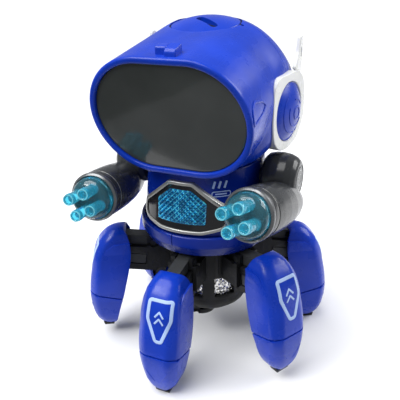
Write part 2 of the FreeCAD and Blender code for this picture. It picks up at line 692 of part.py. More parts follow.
def stadium(half_width, half_height, centre_y, tilt, centre_z):
    """A long rounded outline facing forward, leaning by tilt."""
    lean = Placement(Vector(0, centre_y, centre_z), Rotation(Vector(1, 0, 0), 90 + tilt))
    flat = half_width - half_height
    ends = [Part.Arc(Vector(flat, -half_height, 0), Vector(half_width, 0, 0), Vector(flat, half_height, 0)),
            Part.LineSegment(Vector(flat, half_height, 0), Vector(-flat, half_height, 0)),
            Part.Arc(Vector(-flat, half_height, 0), Vector(-half_width, 0, 0),
                     Vector(-flat, -half_height, 0)),
            Part.LineSegment(Vector(-flat, -half_height, 0), Vector(flat, -half_height, 0))]
    wire = Part.Wire([edge.toShape() for edge in ends])
    wire.Placement = lean
    return wire


def helmet_form(inset, forward=0.0):
    """The helmet's whole outer form, or the space inside it when inset."""
    middle_y, middle_z = size("dome_y"), size("dome_z")
    reach = size("side_x") - inset
    dome = Part.makeSphere(size("dome_radius") - inset, Vector(0, middle_y, middle_z))
    floor = size("helmet_floor") + inset
    slab = Part.makeBox(2 * reach, 130, 100, Vector(-reach, middle_y - 65, floor))
    lower_edges = [edge for edge in slab.Edges
                   if abs(edge.CenterOfMass.z - floor) < 0.01 and abs(edge.CenterOfMass.x) > 1]
    slab = slab.makeFillet(size("chin_radius") - inset, lower_edges)
    tilt = math.radians(size("visor_tilt"))
    mouth = stadium(size("rim_half_width") - 1.45 * inset, size("rim_half_height") - 1.45 * inset,
                    size("visor_y") - forward * math.cos(tilt), size("visor_tilt"),
                    size("visor_z") - forward * math.sin(tilt))
    half_height = (middle_z + size("dome_radius") - 1.2 - inset - floor) / 2
    back = stadium(reach, half_height, middle_y, 0, floor + half_height)
    hood = Part.makeLoft([mouth, back], True, True)
    return dome.common(slab).fuse(hood)


# Outlines seen from the side, as (y, z) pairs.
EAR_PAD_EDGE = [(-14, 181), (16, 181), (25, 174), (28, 162), (27, 146), (18, 135.5),
                (4, 133), (-8, 135.5), (-17, 142), (-20, 150), (-19.5, 174)]
FIN_EDGE = [(16, 176), (27.5, 171), (30.5, 180), (30.2, 192), (25.5, 192.8), (22.5, 184)]
BROW_EDGE = [(-54.4, 186), (-54.4, 195.4), (-53.0, 196.6), (-47.0, 197.8), (-46.0, 186)]
BROW_START, BROW_WIDTH = -3.2, 12.0


def cap_axis():
    """The crown cap's axis: through the dome's centre, leaning forward."""
    lean = math.radians(size("cap_tilt"))
    return Vector(0, -math.sin(lean), math.cos(lean))


def crown_disc(radius, bottom, top):
    """A short round slab along the crown cap's axis, measured from the dome's centre."""
    centre = Vector(0, size("dome_y"), size("dome_z"))
    return Part.makeCylinder(radius, top - bottom, centre + cap_axis() * bottom, cap_axis())


def visor_slab(margin, thickness):
    """The visor's own outline, drawn in by a margin, as a slab that starts at the lens's front."""
    tilt = math.radians(size("visor_tilt"))
    inward = Vector(0, math.cos(tilt), math.sin(tilt))
    recess = size("lens_recess")
    face = stadium(size("lens_half_width") - margin, size("lens_half_height") - margin,
                   size("visor_y") + recess * inward.y, size("visor_tilt"),
                   size("visor_z") + recess * inward.z)
    return Part.Face(face).extrude(inward * thickness)


def build_head():
    outer = helmet_form(0)
    inner = helmet_form(size("helmet_wall"), forward=12.0)
    neck = Part.makeCylinder(size("neck_bore"), 20, Vector(0, 0, size("helmet_floor") - 10))
    crown = crown_disc(size("cap_radius") + size("cap_gap"), 30, 60)
    seat = visor_slab(0.0, size("lens_thickness") + 0.3)
    shell = outer.cut(inner).cut(neck).cut(crown).cut(seat)
    far = 140.0
    for name, start in (("helmet_front", size("dome_y") - far), ("helmet_rear", size("dome_y"))):
        half = Part.makeBox(2 * far, far, 2 * far, Vector(-far, start, 0))
        piece = shell.common(half)
        solid = max(piece.Solids, key=lambda each: each.Volume)
        node(name, free_form(solid))

    radius = size("dome_radius")
    centre = Vector(0, size("dome_y"), size("dome_z"))
    cap = Part.makeSphere(radius, centre).cut(Part.makeSphere(radius - 3.2, centre))
    cap = cap.common(crown_disc(size("cap_radius"), 30, 60))
    slot = Part.makeBox(size("slot_length"), size("slot_width"), 10,
                        Vector(-size("slot_length") / 2, -size("slot_width") / 2, radius - 1.7))
    slot.rotate(Vector(0, 0, 0), Vector(0, 0, 1), -33)
    slot.rotate(Vector(0, 0, 0), Vector(1, 0, 0), size("cap_tilt"))
    slot.translate(centre)
    node("crown_cap", free_form(cap.cut(slot)))

    node("visor_lens", free_form(visor_slab(0.15, size("lens_thickness"))))
    knob = side_plate(BROW_EDGE, BROW_START, BROW_WIDTH).cut(outer)
    node("brow_knob", free_form(max(knob.Solids, key=lambda each: each.Volume)))
    build_ears(outer)


def side_plate(edge, start, thickness):
    """A plate across X with an outline of (y, z) pairs."""
    face = Part.Face(Part.makePolygon([Vector(start, y, z) for y, z in edge + edge[:1]]))
    return face.extrude(Vector(thickness, 0, 0))


def build_ears(helmet):
    """The white pads with their antenna fins, and the domed blue discs set in them."""
    disc_radius, disc_height = size("disc_radius"), size("disc_height")
    ball = (disc_radius ** 2 + disc_height ** 2) / (2 * disc_height)
    for side, word in ((1, "left"), (-1, "right")):
        inner, outer = size("side_x") + 0.15, size("ear_x")
        plate = side_plate(EAR_PAD_EDGE, inner - 5, outer - inner + 5).cut(helmet)
        fin = side_plate(FIN_EDGE, inner + 0.7, 2.4)
        slit = Part.makeBox(6, 1.6, 6, Vector(inner - 1, 26.0, 181))
        pocket = Part.makeCylinder(disc_radius + 0.2, 1.5, Vector(outer - 1.0, size("ear_y"), size("ear_z")),
                                   Vector(1, 0, 0))
        pad_shape = plate.fuse(fin.cut(slit)).cut(pocket)
        pad_shape = max(pad_shape.Solids, key=lambda each: each.Volume)
        centre = Vector(outer - 0.9 + disc_height - ball, size("ear_y"), size("ear_z"))
        base = Vector(outer - 0.9, size("ear_y"), size("ear_z"))
        rim = Part.makeCylinder(disc_radius, 20, base, Vector(1, 0, 0))
        disc = Part.makeSphere(ball, centre).common(rim)
        if side < 0:
            middle = Vector(0, 0, 0)
            pad_shape = pad_shape.mirror(middle, Vector(1, 0, 0))
            disc = disc.mirror(middle, Vector(1, 0, 0))
        node("ear_pad_" + word, free_form(pad_shape))
        node("ear_disc_" + word, free_form(disc))


# ---------------------------------------------------------------- assembly

def build():
    build_legs()
    node("base_housing", base_housing())
    node("base_plate", base_plate())
    node("base_screws", base_screws())
    node("reflector_ring", reflector_ring())
    node("drive_gear", drive_gear())
    motor_pinion()
    node("drive_motor", drive_motor())
    node("waist_skirt", waist_skirt())
    node("torso_front", torso_half(True))
    node("torso_rear", torso_half(False))
    node("battery_door", battery_door())
    node("battery_cells", battery_cells())
    node("power_switch", power_switch())
    node("circuit_board", box(40, 1.6, 24, x=-20, y=-12, z=90))
    speaker = fuse(cylinder(13, 2, y=-15.2, z=101, axis=(1, 0, 0), angle=90),
                   cylinder(7, 4, y=-14.0, z=101, axis=(1, 0, 0), angle=90))
    node("speaker", speaker)
    node("chest_bezel", panel_piece(PANEL_EDGE, -2.0, 0.0, shrunk(PANEL_EDGE, 1.9)))
    node("chest_panel", panel_piece(shrunk(PANEL_EDGE, 2.0), -2.0, -0.7, LENS_EDGE))
    node("chest_lens", panel_piece(shrunk(LENS_EDGE, 0.1), -2.2, 0.3))
    node("neck_collar", neck_collar())
    build_arms()
    build_head()


build()
doc.recompute()

problems = [thing.Name for thing in doc.Objects if "Invalid" in thing.State or "Error" in thing.State]
for name, thing in NODES.items():
    if thing.Shape.isNull() or not thing.Shape.isValid() or not thing.Shape.Solids:
        problems.append(name)
if problems:
    raise SystemExit("failed objects: %s" % ", ".join(problems))

os.makedirs("parts", exist_ok=True)
for name, thing in NODES.items():
    thing.Shape.exportStep(os.path.join("parts", name + ".step"))
print("%d sub-parts written" % len(NODES))
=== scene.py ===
import json
import math

import bmesh
import bpy
import numpy as np
from mathutils import Matrix, Vector


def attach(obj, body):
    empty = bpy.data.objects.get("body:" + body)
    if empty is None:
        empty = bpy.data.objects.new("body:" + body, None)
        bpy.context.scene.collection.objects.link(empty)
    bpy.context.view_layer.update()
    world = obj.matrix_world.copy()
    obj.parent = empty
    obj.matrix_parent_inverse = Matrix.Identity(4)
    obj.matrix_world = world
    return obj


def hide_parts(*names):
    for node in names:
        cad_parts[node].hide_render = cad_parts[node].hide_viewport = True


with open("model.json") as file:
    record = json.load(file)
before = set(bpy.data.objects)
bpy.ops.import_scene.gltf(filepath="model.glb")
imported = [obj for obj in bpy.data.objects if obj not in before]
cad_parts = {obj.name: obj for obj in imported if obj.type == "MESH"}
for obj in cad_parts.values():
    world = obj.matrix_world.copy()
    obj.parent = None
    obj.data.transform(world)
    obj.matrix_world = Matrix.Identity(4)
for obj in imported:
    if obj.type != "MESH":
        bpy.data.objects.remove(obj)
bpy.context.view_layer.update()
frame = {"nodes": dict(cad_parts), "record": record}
NODES = frame["nodes"]
MM = 0.001
rng = np.random.default_rng(7)

# Driving dimensions, in millimetres, in the frame of the CAD model.
LEG_COUNT = 6
LINK_LENGTH, LEG_SWING = 24.0, math.radians(9.0)
DOME_CENTRE = np.array([0.0, 7.6, 153.0])
DOME_RADIUS = 51.6
SIDE_X = 45.3
HELMET_FLOOR = 129.5
CHIN_RADIUS = 17.0
VISOR_CENTRE = np.array([0.0, -49.8, 159.2])
VISOR_TILT = math.radians(13.1)
RIM = (45.9, 33.4)
LENS = (42.3, 29.8)
CAP_RADIUS = 19.7
CAP_TILT = math.radians(6.5)
EAR = np.array([48.8, 5.2, 154.3])
DISC_RADIUS = 16.3
DISC_HEIGHT = 5.4
EAR_TURN = math.radians(8)
TORSO_RADIUS, TORSO_TOP_RADIUS = 39.2, 35.0
TORSO_SHOULDER, TORSO_TOP = 89.0, 127.0
PANEL_RADIUS, PANEL_TOP_RADIUS = 42.4, 38.0
PANEL_LOW, PANEL_HIGH = 90.0, 121.4
FIST_X, FIST_DROP, FIST_REACH = 52.7, 13.1, 54.3
FIST_YAW = math.radians(7.2)
ARM_PITCH = {"left": math.radians(14.5), "right": math.radians(9.0)}
ARM_PIVOT = (0, -1.2, 116.7)
SHOULDER_X = 38.0
# The groove between a leg's tip and its cover: where it lies, how high, and its slope.
GROOVE = (79.4, 30.5, math.radians(15.5))
SIDES = ((1, "left"), (-1, "right"))


# ------------------------------------------------------------------ meshes
# A surface is a pair (points, faces), with its points in millimetres.

def rotation(axis, angle):
    return np.array(Matrix.Rotation(angle, 3, axis))


def linked(name, data):
    """A new object in the scene."""
    thing = bpy.data.objects.new(name, data)
    bpy.context.scene.collection.objects.link(thing)
    return thing


def mesh_of(name, surface, weld=1e-6):
    """A surface as a mesh, its doubled points joined and its faces turned outward."""
    points, faces = surface
    mesh = bpy.data.meshes.new(name)
    mesh.from_pydata([tuple(float(c) * MM for c in point) for point in points], [], faces)
    bm = bmesh.new()
    bm.from_mesh(mesh)
    bmesh.ops.remove_doubles(bm, verts=bm.verts, dist=weld)
    bmesh.ops.recalc_face_normals(bm, faces=bm.faces)
    bm.to_mesh(mesh)
    bm.free()
    return mesh


def smooth(mesh, angle):
    """Smooth shading, broken at edges sharper than an angle, if one is given."""
    for polygon in mesh.polygons:
        polygon.use_smooth = True
    if angle:
        mesh.set_sharp_from_angle(angle=math.radians(angle))


def piece(name, surface, body, slot, smooth_angle=32.0, look=None):
    """A mesh object riding on a CAD body, in its slot's material unless another look is named."""
    thing = linked(name, mesh_of(name, surface))
    smooth(thing.data, smooth_angle)
    thing.data.materials.append(MATERIALS[look or slot])
    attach(thing, body)
    return thing


def lofted(rings, capped=False, looped=False):
    """A surface through rings with equal numbers of points, its ends capped, joined up or left open."""
    rings = [np.asarray(ring, float) for ring in rings]
    rows, count = len(rings), len(rings[0])
    faces = []
    for row in range(rows if looped else rows - 1):
        here, there = row * count, (row + 1) % rows * count
        for column in range(count):
            after = (column + 1) % count
            faces.append((here + column, here + after, there + after, there + column))
    if capped:
        last = (rows - 1) * count
        faces += [tuple(range(count)), tuple(range(last, last + count))]
    return np.concatenate(rings), faces


def level_ring(outline, height):
    """An outline of (x, y) points laid flat at a height."""
    return np.column_stack([outline, np.full(len(outline), height)])


def lathe(profile, segments=96):
    """A turned surface about Z from (radius, height) pairs; zero radii close it."""
    turns = np.linspace(0, 2 * math.pi, segments, endpoint=False)
    circle = np.stack([np.cos(turns), np.sin(turns)], axis=1)
    return lofted([level_ring(radius * circle, height) for radius, height in profile])


def plug(radius, low, high):
    """A closed round slab about Z."""
    return lathe([(0, low), (radius, low), (radius, high), (0, high)])


def slab(size_xyz, turn=None, shift=(0, 0, 0)):
    """A box about its centre, for cutters, ribs and inlays."""
    half = np.array(size_xyz) / 2
    corners = np.array([[x, y, z] for x in (-1, 1) for y in (-1, 1) for z in (-1, 1)]) * half
    faces = [(0, 1, 3, 2), (4, 6, 7, 5), (0, 4, 5, 1), (2, 3, 7, 6), (0, 2, 6, 4), (1, 5, 7, 3)]
    return moved((corners, faces), turn, shift)


def prism(outline, start, end, axis="X"):
    """A solid with a drawn outline, run along X (outline in y, z) or along Y (outline in x, z)."""
    outline = np.array(outline, float)
    rings = []
    for value in (start, end):
        columns = [outline[:, 0], outline[:, 1]]
        columns.insert("XY".index(axis), np.full(len(outline), value))
        rings.append(np.stack(columns, axis=1))
    return lofted(rings, capped=True)


def eased(profile, radius=0.6, steps=4):
    """The same outline with its inner corners rounded off."""
    points = [np.array(point, float) for point in profile]
    result = [points[0]]
    for before, corner, after in zip(points, points[1:], points[2:]):
        toward, away = before - corner, after - corner
        reach = min(radius, 0.45 * np.linalg.norm(toward), 0.45 * np.linalg.norm(away))
        start = corner + toward / max(np.linalg.norm(toward), 1e-9) * reach
        end = corner + away / max(np.linalg.norm(away), 1e-9) * reach
        for step in range(steps + 1):
            share = step / steps
            result.append((1 - share) ** 2 * start + 2 * share * (1 - share) * corner + share ** 2 * end)
    result.append(points[-1])
    return result


def raised(base, pairs):
    """A profile's (radius, height) pairs, with the heights measured from a base."""
    return [(radius, base + height) for radius, height in pairs]


def moved(surface, turn=None, shift=(0, 0, 0)):
    """A surface turned about the origin, then shifted."""
    points, faces = surface
    points = np.asarray(points, float)
    if turn is not None:
        points = points @ np.asarray(turn).T
    return points + np.asarray(shift, float), faces


def joined(*parts):
    """Several (points, faces) surfaces as one."""
    points, faces, offset = [], [], 0
    for part_points, part_faces in parts:
        points.append(np.asarray(part_points, float))
        faces += [tuple(index + offset for index in face) for face in part_faces]
        offset += len(part_points)
    return np.concatenate(points), faces


def modify(thing, kind, **settings):
    modifier = thing.modifiers.new(kind.lower(), kind)
    for name, value in settings.items():
        setattr(modifier, name, value)


def bevelled(thing, width, segments=2, angle=50):
    """Round the edges sharper than an angle by a width in millimetres."""
    modify(thing, "BEVEL", width=width * MM, segments=segments, limit_method="ANGLE",
           angle_limit=math.radians(angle))


def rounded(thing, width, segments=3, angle=30):
    """Bevelled, with flat faces shaded flat."""
    bevelled(thing, width, segments, angle)
    modify(thing, "WEIGHTED_NORMAL", keep_sharp=True)


def applied(thing, smooth_angle=32.0):
    """Bake a piece's modifiers into its mesh."""
    graph = bpy.context.evaluated_depsgraph_get()
    mesh = bpy.data.meshes.new_from_object(thing.evaluated_get(graph))
    thing.modifiers.clear()
    thing.data = mesh
    smooth(mesh, smooth_angle)
    return thing


def merge(thing, surface):
    """Add a closed solid to a piece's mesh."""
    points, faces = surface
    bm = bmesh.new()
    bm.from_mesh(thing.data)
    made = [bm.verts.new([float(c) * MM for c in point]) for point in points]
    fresh = [bm.faces.new([made[index] for index in face]) for face in faces]
    bmesh.ops.recalc_face_normals(bm, faces=fresh)
    bm.to_mesh(thing.data)
    bm.free()


def cut_by(thing, surface, smooth_angle=32.0):
    """Take a solid out of a piece."""
    cutter = linked("cutter", mesh_of("cutter", surface, 1e-7))
    modify(thing, "BOOLEAN", operation="DIFFERENCE", object=cutter, solver="EXACT")
    applied(thing, smooth_angle)
    bpy.data.objects.remove(cutter)


BAND_PROFILE = [(-0.5, -0.4), (-0.5, 0.55), (-0.36, 1.0), (0.36, 1.0), (0.5, 0.55), (0.5, -0.4)]


def stroke(path, width, height, closed=True):
    """A raised band along a path on a surface: rows of (point, outward normal)."""
    points, normals = (np.array([row[part] for row in path], float) for part in (0, 1))
    if closed:
        along = np.roll(points, -1, axis=0) - np.roll(points, 1, axis=0)
    else:
        along = np.gradient(points, axis=0)
    along /= np.linalg.norm(along, axis=1)[:, None]
    across = np.cross(along, normals)
    across /= np.linalg.norm(across, axis=1)[:, None]
    lines = [points + across * (side * width) + normals * (lift * height) for side, lift in BAND_PROFILE]
    return lofted(np.stack(lines, axis=1), capped=not closed, looped=closed)


def dense(corners, spacing=0.8, rounding=0.0, closed=True):
    """Evenly spaced points along a polygon whose corners may be rounded."""
    outline = [np.array(corner, float) for corner in corners]
    if rounding:
        outline = eased([outline[-1]] + outline + [outline[0]], rounding, 5)[1:-1]
    result = []
    for start, end in zip(outline, outline[1:] + (outline[:1] if closed else [])):
        steps = max(1, int(np.linalg.norm(end - start) / spacing))
        for step in range(steps):
            result.append(start + (end - start) * step / steps)
    return result if closed else result + [outline[-1]]


# ------------------------------------------------------------------ materials

def colour_out(mix):
    return [one for one in mix.outputs if one.type == "RGBA"][0]


class Nodes:
    """A material's shader nodes, and short ways to add, link and feed them."""

    def __init__(self, name):
        self.material = bpy.data.materials.new(name)
        self.material.use_nodes = True
        self.tree = self.material.node_tree
        self.tree.nodes.clear()
        self.output = self.add("ShaderNodeOutputMaterial")
        self.shader = self.add("ShaderNodeBsdfPrincipled")
        self.link(self.shader, "BSDF", self.output, "Surface")
        self.coords = self.add("ShaderNodeTexCoord")

    def add(self, kind, **settings):
        made = self.tree.nodes.new(kind)
        for name, value in settings.items():
            if hasattr(made, name):
                setattr(made, name, value)
            else:
                made.inputs[name.replace("_", " ")].default_value = value
        return made

    def link(self, source, out, target, into):
        self.tree.links.new(source.outputs[out], target.inputs[into])

    def calculate(self, operation, *terms):
        """A math node whose terms are numbers or (node, output) pairs."""
        made = self.add("ShaderNodeMath", operation=operation)
        for slot, term in enumerate(terms):
            if isinstance(term, tuple):
                self.link(*term, made, slot)
            else:
                made.inputs[slot].default_value = term
        return made

    def noise(self, scale, detail=3.0, stretch=None):
        made = self.add("ShaderNodeTexNoise", Scale=scale, Detail=detail)
        source, out = self.coords, "Object"
        if stretch:
            source, out = self.add("ShaderNodeMapping"), "Vector"
            source.inputs["Scale"].default_value = stretch
            source.inputs["Rotation"].default_value = (0.4, 0.7, 0.3)
            self.link(self.coords, "Object", source, "Vector")
        self.link(source, out, made, "Vector")
        return made

    def ranged(self, source, out, low, high, start=0.0, end=1.0):
        made = self.add("ShaderNodeMapRange")
        for name, value in (("From Min", start), ("From Max", end), ("To Min", low), ("To Max", high)):
            made.inputs[name].default_value = value
        self.link(source, out, made, "Value")
        return made

    def blend(self, factor, out, first, second):
        made = self.add("ShaderNodeMix", data_type="RGBA")
        self.link(factor, out, made, "Factor")
        for socket, value in (("A", first), ("B", second)):
            target = [one for one in made.inputs if one.name == socket and one.type == "RGBA"][0]
            if isinstance(value, tuple):
                target.default_value = (*value, 1.0)
            else:
                self.tree.links.new(colour_out(value), target)
        return made

    def mottled(self, cloud, first, second, start=0.3, end=0.7):
        """Two colours mixed by a noise, between two of its values."""
        return self.blend(self.ranged(cloud, "Fac", 0.0, 1.0, start, end), "Result", first, second)

    def edges(self, amount, start, end):
        """How much an edge is worn, by its sharpness."""
        return self.ranged(self.add("ShaderNodeNewGeometry"), "Pointiness", 0.0, amount, start, end)

    def coloured(self, mix):
        self.tree.links.new(colour_out(mix), self.shader.inputs["Base Color"])

    def smeared(self, cloud, low, high):
        """Roughness that follows a noise."""
        self.link(self.ranged(cloud, "Fac", low, high, 0.3, 0.7), "Result", self.shader, "Roughness")

    def bumped(self, source, out, strength, distance):
        bump = self.add("ShaderNodeBump", Strength=strength, Distance=distance)
        self.link(source, out, bump, "Height")
        self.link(bump, "Normal", self.shader, "Normal")


def plastic(name, colour, roughness=0.25, coat=0.0, wear=0.12, grain=0.03, subsurface=0.0, edge=None):
    """Moulded plastic: slight colour drift, orange-peel skin, hairline scuffs and paler worn edges."""
    tree = Nodes(name)
    shader = tree.shader
    darker = tuple(0.86 * channel for channel in colour)
    lighter = tuple(min(1.0, 1.1 * channel + 0.002) for channel in colour)
    paler = edge or tuple(min(1.0, 1.6 * channel + 0.05) for channel in colour)
    sharp, grit = tree.edges(wear, 0.52, 0.62), tree.noise(420, 4.0)
    rubbed = tree.calculate("MULTIPLY", (sharp, "Result"), (grit, "Fac"))
    tree.coloured(tree.blend(rubbed, "Value", tree.mottled(tree.noise(38, 2.0), darker, lighter), paler))
    scratch = tree.ranged(tree.noise(260, 6.0, stretch=(1.0, 0.08, 0.35)), "Fac", 0.0, 0.12, 0.62, 0.74)
    smear = tree.ranged(tree.noise(90, 3.0), "Fac", roughness * 0.8, roughness * 1.25, 0.3, 0.7)
    tree.link(tree.calculate("ADD", (smear, "Result"), (scratch, "Result")), "Value", shader, "Roughness")
    swell, peel = tree.noise(60, 1.0), tree.noise(700, 2.0)
    heights = tree.calculate("MULTIPLY_ADD", (swell, "Fac"), 2.5, (peel, "Fac"))
    tree.bumped(heights, "Value", grain * 4, 0.00025)
    shader.inputs["Coat Weight"].default_value = coat
    shader.inputs["Coat Roughness"].default_value = 0.08
    shader.inputs["IOR"].default_value = 1.45
    shader.inputs["Specular IOR Level"].default_value = 0.3
    if subsurface:
        shader.inputs["Subsurface Weight"].default_value = subsurface
        shader.inputs["Subsurface Radius"].default_value = (0.001, 0.001, 0.003)
    return tree.material


def silver_paint(name, colour, roughness=0.32):
    """Silver lacquer on plastic, with fine flakes and rubbed edges."""
    tree = Nodes(name)
    flakes = tree.add("ShaderNodeTexVoronoi", Scale=3200.0)
    tree.link(tree.coords, "Object", flakes, "Vector")
    sparkle = tree.ranged(flakes, "Distance", 0.0, 1.0, 0.0, 0.8)
    base = tree.blend(sparkle, "Result", tuple(0.8 * channel for channel in colour), colour)
    tree.coloured(tree.blend(tree.edges(0.5, 0.54, 0.64), "Result", base, (0.75, 0.75, 0.72)))
    tree.smeared(tree.noise(160, 4.0), roughness * 0.75, roughness * 1.4)
    tree.bumped(flakes, "Distance", 0.12, 0.0001)
    tree.shader.inputs["Metallic"].default_value = 0.75
    return tree.material


FACETS_ACROSS, FACETS_UP = 330.0, 340.0


def gem(name):
    """Foil-backed faceted blue with painted light: each facet shaded from dark to bright, painted highlights
    along the facet edges, and a faint painted glow.
    """
    tree = Nodes(name)
    shader = tree.shader
    split = tree.add("ShaderNodeSeparateXYZ")
    tree.link(tree.coords, "Object", split, "Vector")
    ramps = []
    for slope in (FACETS_UP, -FACETS_UP):
        slant = tree.calculate("MULTIPLY", (split, "Z"), slope)
        mixed = tree.calculate("MULTIPLY_ADD", (split, "X"), FACETS_ACROSS, (slant, "Value"))
        ramps.append((tree.calculate("FRACT", (mixed, "Value")), "Value"))
    # Painted shading: within each diamond the blue runs from near black to bright, as if each facet were lit
    # from one side.
    tone = tree.ranged(tree.calculate("SUBTRACT", *ramps), "Value", 0.0, 1.0, -0.9, 0.9)
    facets = tree.blend(tone, "Result", (0.0, 0.008, 0.05), (0.0, 0.30, 0.75))
    # Painted highlight: pale cyan lines along the edges of the diamonds.
    painted_edge_highlight = tree.ranged(tree.calculate("MINIMUM", *ramps), "Value", 1.0, 0.0, 0.05, 0.2)
    facets_with_painted_highlights = tree.blend(painted_edge_highlight, "Result", facets, (0.12, 0.85, 1.0))
    cloud = tree.noise(300, 3.0)
    spread = tree.ranged(cloud, "Fac", 0.25, 1.0, 0.42, 0.56)
    tree.coloured(tree.blend(spread, "Result", (0.0, 0.03, 0.12), facets_with_painted_highlights))
    tree.smeared(cloud, 0.08, 0.2)
    shader.inputs["Metallic"].default_value = 0.25
    shader.inputs["Coat Weight"].default_value = 0.25
    shader.inputs["Coat Roughness"].default_value = 0.04
    # Painted glow: a faint cyan emission, though no lamp is lit inside the lens.
    shader.inputs["Emission Color"].default_value = (0.02, 0.45, 0.8, 1.0)
    shader.inputs["Emission Strength"].default_value = 0.03
    return tree.material


def clear_plastic(name, colour, roughness=0.04, painted_glow=0.0, transmission=0.86):
    """Tinted clear moulding with flow swirls and tiny pits, and an optional painted glow: emission in the
    moulding's own colour.
    """
    tree = Nodes(name)
    shader = tree.shader
    deeper = tuple(0.82 * channel for channel in colour)
    tree.coloured(tree.mottled(tree.noise(120, 3.0), deeper, colour, 0.35, 0.65))
    tree.smeared(tree.noise(300, 3.0), roughness * 0.6, roughness * 1.6)
    tree.bumped(tree.noise(220, 2.0), "Fac", 0.15, 0.0003)
    shader.inputs["Transmission Weight"].default_value = transmission
    shader.inputs["IOR"].default_value = 1.49
    # Painted glow: the clear parts give off light of their own colour, though no lamp is lit inside them.
    if painted_glow:
        shader.inputs["Emission Color"].default_value = (*colour, 1.0)
        shader.inputs["Emission Strength"].default_value = painted_glow
    return tree.material


def foil(name):
    """Vacuum-metallised plastic: bright, creased, a little cloudy."""
    tree = Nodes(name)
    cloud = tree.noise(240, 4.0)
    tree.coloured(tree.mottled(cloud, (0.74, 0.73, 0.7), (0.9, 0.9, 0.88), 0.35, 0.65))
    tree.smeared(cloud, 0.14, 0.32)
    tree.bumped(tree.noise(380, 3.0), "Fac", 0.5, 0.0006)
    tree.shader.inputs["Metallic"].default_value = 1.0
    return tree.material


# Every slot's material under the slot's own name, and the other looks of some pieces.
MATERIALS = {
    "blue_shell": plastic("blue_shell", (0.0022, 0.036, 0.43), 0.28, coat=0.04, wear=0.2, grain=0.02),
    # navy_shell is about half as bright as blue_shell: painted shade for the torso and skirt, which lie in
    # shade under the helmet and arms.
    "navy_shell": plastic("navy_shell", (0.0014, 0.019, 0.25), 0.24, coat=0.07, wear=0.15, grain=0.02),
    "black_frame": plastic("black_frame", (0.0065, 0.007, 0.008), 0.45, wear=0.25, grain=0.09),
    "grey_link": plastic("grey_link", (0.035, 0.037, 0.038), 0.4, wear=0.3, grain=0.08),
    "charcoal_shell": plastic("charcoal_shell", (0.03, 0.032, 0.034), 0.24, coat=0.15, wear=0.35, grain=0.05),
    "silver_trim": silver_paint("silver_trim", (0.42, 0.42, 0.4)),
    "muzzle_silver": silver_paint("muzzle_silver", (0.17, 0.175, 0.18), 0.3),
    "clear_dome": clear_plastic("clear_dome", (0.14, 0.5, 0.62), 0.07, transmission=0.86),
    "clear_blue": clear_plastic("clear_blue", (0.12, 0.74, 0.95), 0.04, painted_glow=0.07, transmission=0.85),
    # clear_lip is paler and glows: painted highlight and painted glow on the barrel rims.
    "clear_lip": clear_plastic("clear_lip", (0.3, 0.85, 0.95), 0.05, painted_glow=0.06, transmission=0.5),
    "lens_blue": gem("lens_blue"),
    "black_gloss": plastic("black_gloss", (0.01, 0.01, 0.012), 0.12, coat=0.4, wear=0.2, grain=0.02),
    "smoked_visor": plastic("smoked_visor", (0.037, 0.041, 0.039), 0.13, coat=0.5, wear=0.0, grain=0.012),
    "white_trim": plastic("white_trim", (0.66, 0.665, 0.66), 0.24, coat=0.2, wear=0.2, grain=0.03,
                          subsurface=0.1, edge=(0.72, 0.72, 0.72)),
    "foil": foil("foil"),
    "gear_nylon": plastic("gear_nylon", (0.72, 0.7, 0.62), 0.4, wear=0.1, grain=0.05, subsurface=0.1),
    "plated_steel": silver_paint("plated_steel", (0.55, 0.55, 0.56), 0.3),
    "print_ink": plastic("print_ink", (0.42, 0.56, 0.86), 0.45, wear=0.0, grain=0.02),
    "print_grey": plastic("print_grey", (0.45, 0.46, 0.46), 0.45, wear=0.0, grain=0.02),
    "cell_sleeve": plastic("cell_sleeve", (0.02, 0.2, 0.07), 0.25, wear=0.2, grain=0.02),
    "board": plastic("board", (0.02, 0.16, 0.06), 0.3, wear=0.2, grain=0.05),
    "speaker_cone": plastic("speaker_cone", (0.02, 0.02, 0.02), 0.6, wear=0.1, grain=0.15),
}
MATERIALS["motor_can"] = MATERIALS["screw_steel"] = MATERIALS["plated_steel"]
MATERIALS["switch_black"] = MATERIALS["black_frame"]


def dress_cad_nodes():
    """CAD nodes that stay get their material, and a small edge radius by modifiers."""
    for entry in frame["record"]["subparts"]:
        thing = NODES[entry["node"]]
        thing.data.materials.clear()
        thing.data.materials.append(MATERIALS[entry["material_slot"]])
        modify(thing, "WELD", merge_threshold=0.00001)
        bevelled(thing, 0.3, 2, 35)


# ------------------------------------------------------------------ helmet

ARC_STEPS, LINE_STEPS = 64, 30


def stadium(half_width, half_height):
    """Points (across, up) round a long rounded outline, always in the same order."""
    flat = half_width - half_height
    right = np.radians(np.linspace(-90, 90, ARC_STEPS, endpoint=False))
    line = np.linspace(1, -1, LINE_STEPS, endpoint=False) * flat
    parts = [np.stack([flat + half_height * np.cos(right), half_height * np.sin(right)], axis=1),
             np.stack([line, np.full(LINE_STEPS, half_height)], axis=1),
             np.stack([-flat - half_height * np.cos(right), -half_height * np.sin(right)], axis=1),
             np.stack([-line, np.full(LINE_STEPS, -half_height)], axis=1)]
    return np.concatenate(parts)


def on_mouth(outline, depth=0.0):
    """An outline laid on the leaning plane of the visor opening, sunk in by depth."""
    across, up = outline[:, 0], outline[:, 1]
    sine, cosine = math.sin(VISOR_TILT), math.cos(VISOR_TILT)
    return np.stack([across, VISOR_CENTRE[1] - up * sine + depth * cosine,
                     VISOR_CENTRE[2] + up * cosine + depth * sine], axis=1)


def softer(first, second, width, sign):
    """The larger (sign 1) or smaller (sign -1) of two lengths, blended over a width."""
    overlap = np.maximum(width - np.abs(first - second), 0) / width
    chosen = np.maximum(first, second) if sign > 0 else np.minimum(first, second)
    return chosen + sign * overlap ** 2 * width / 4


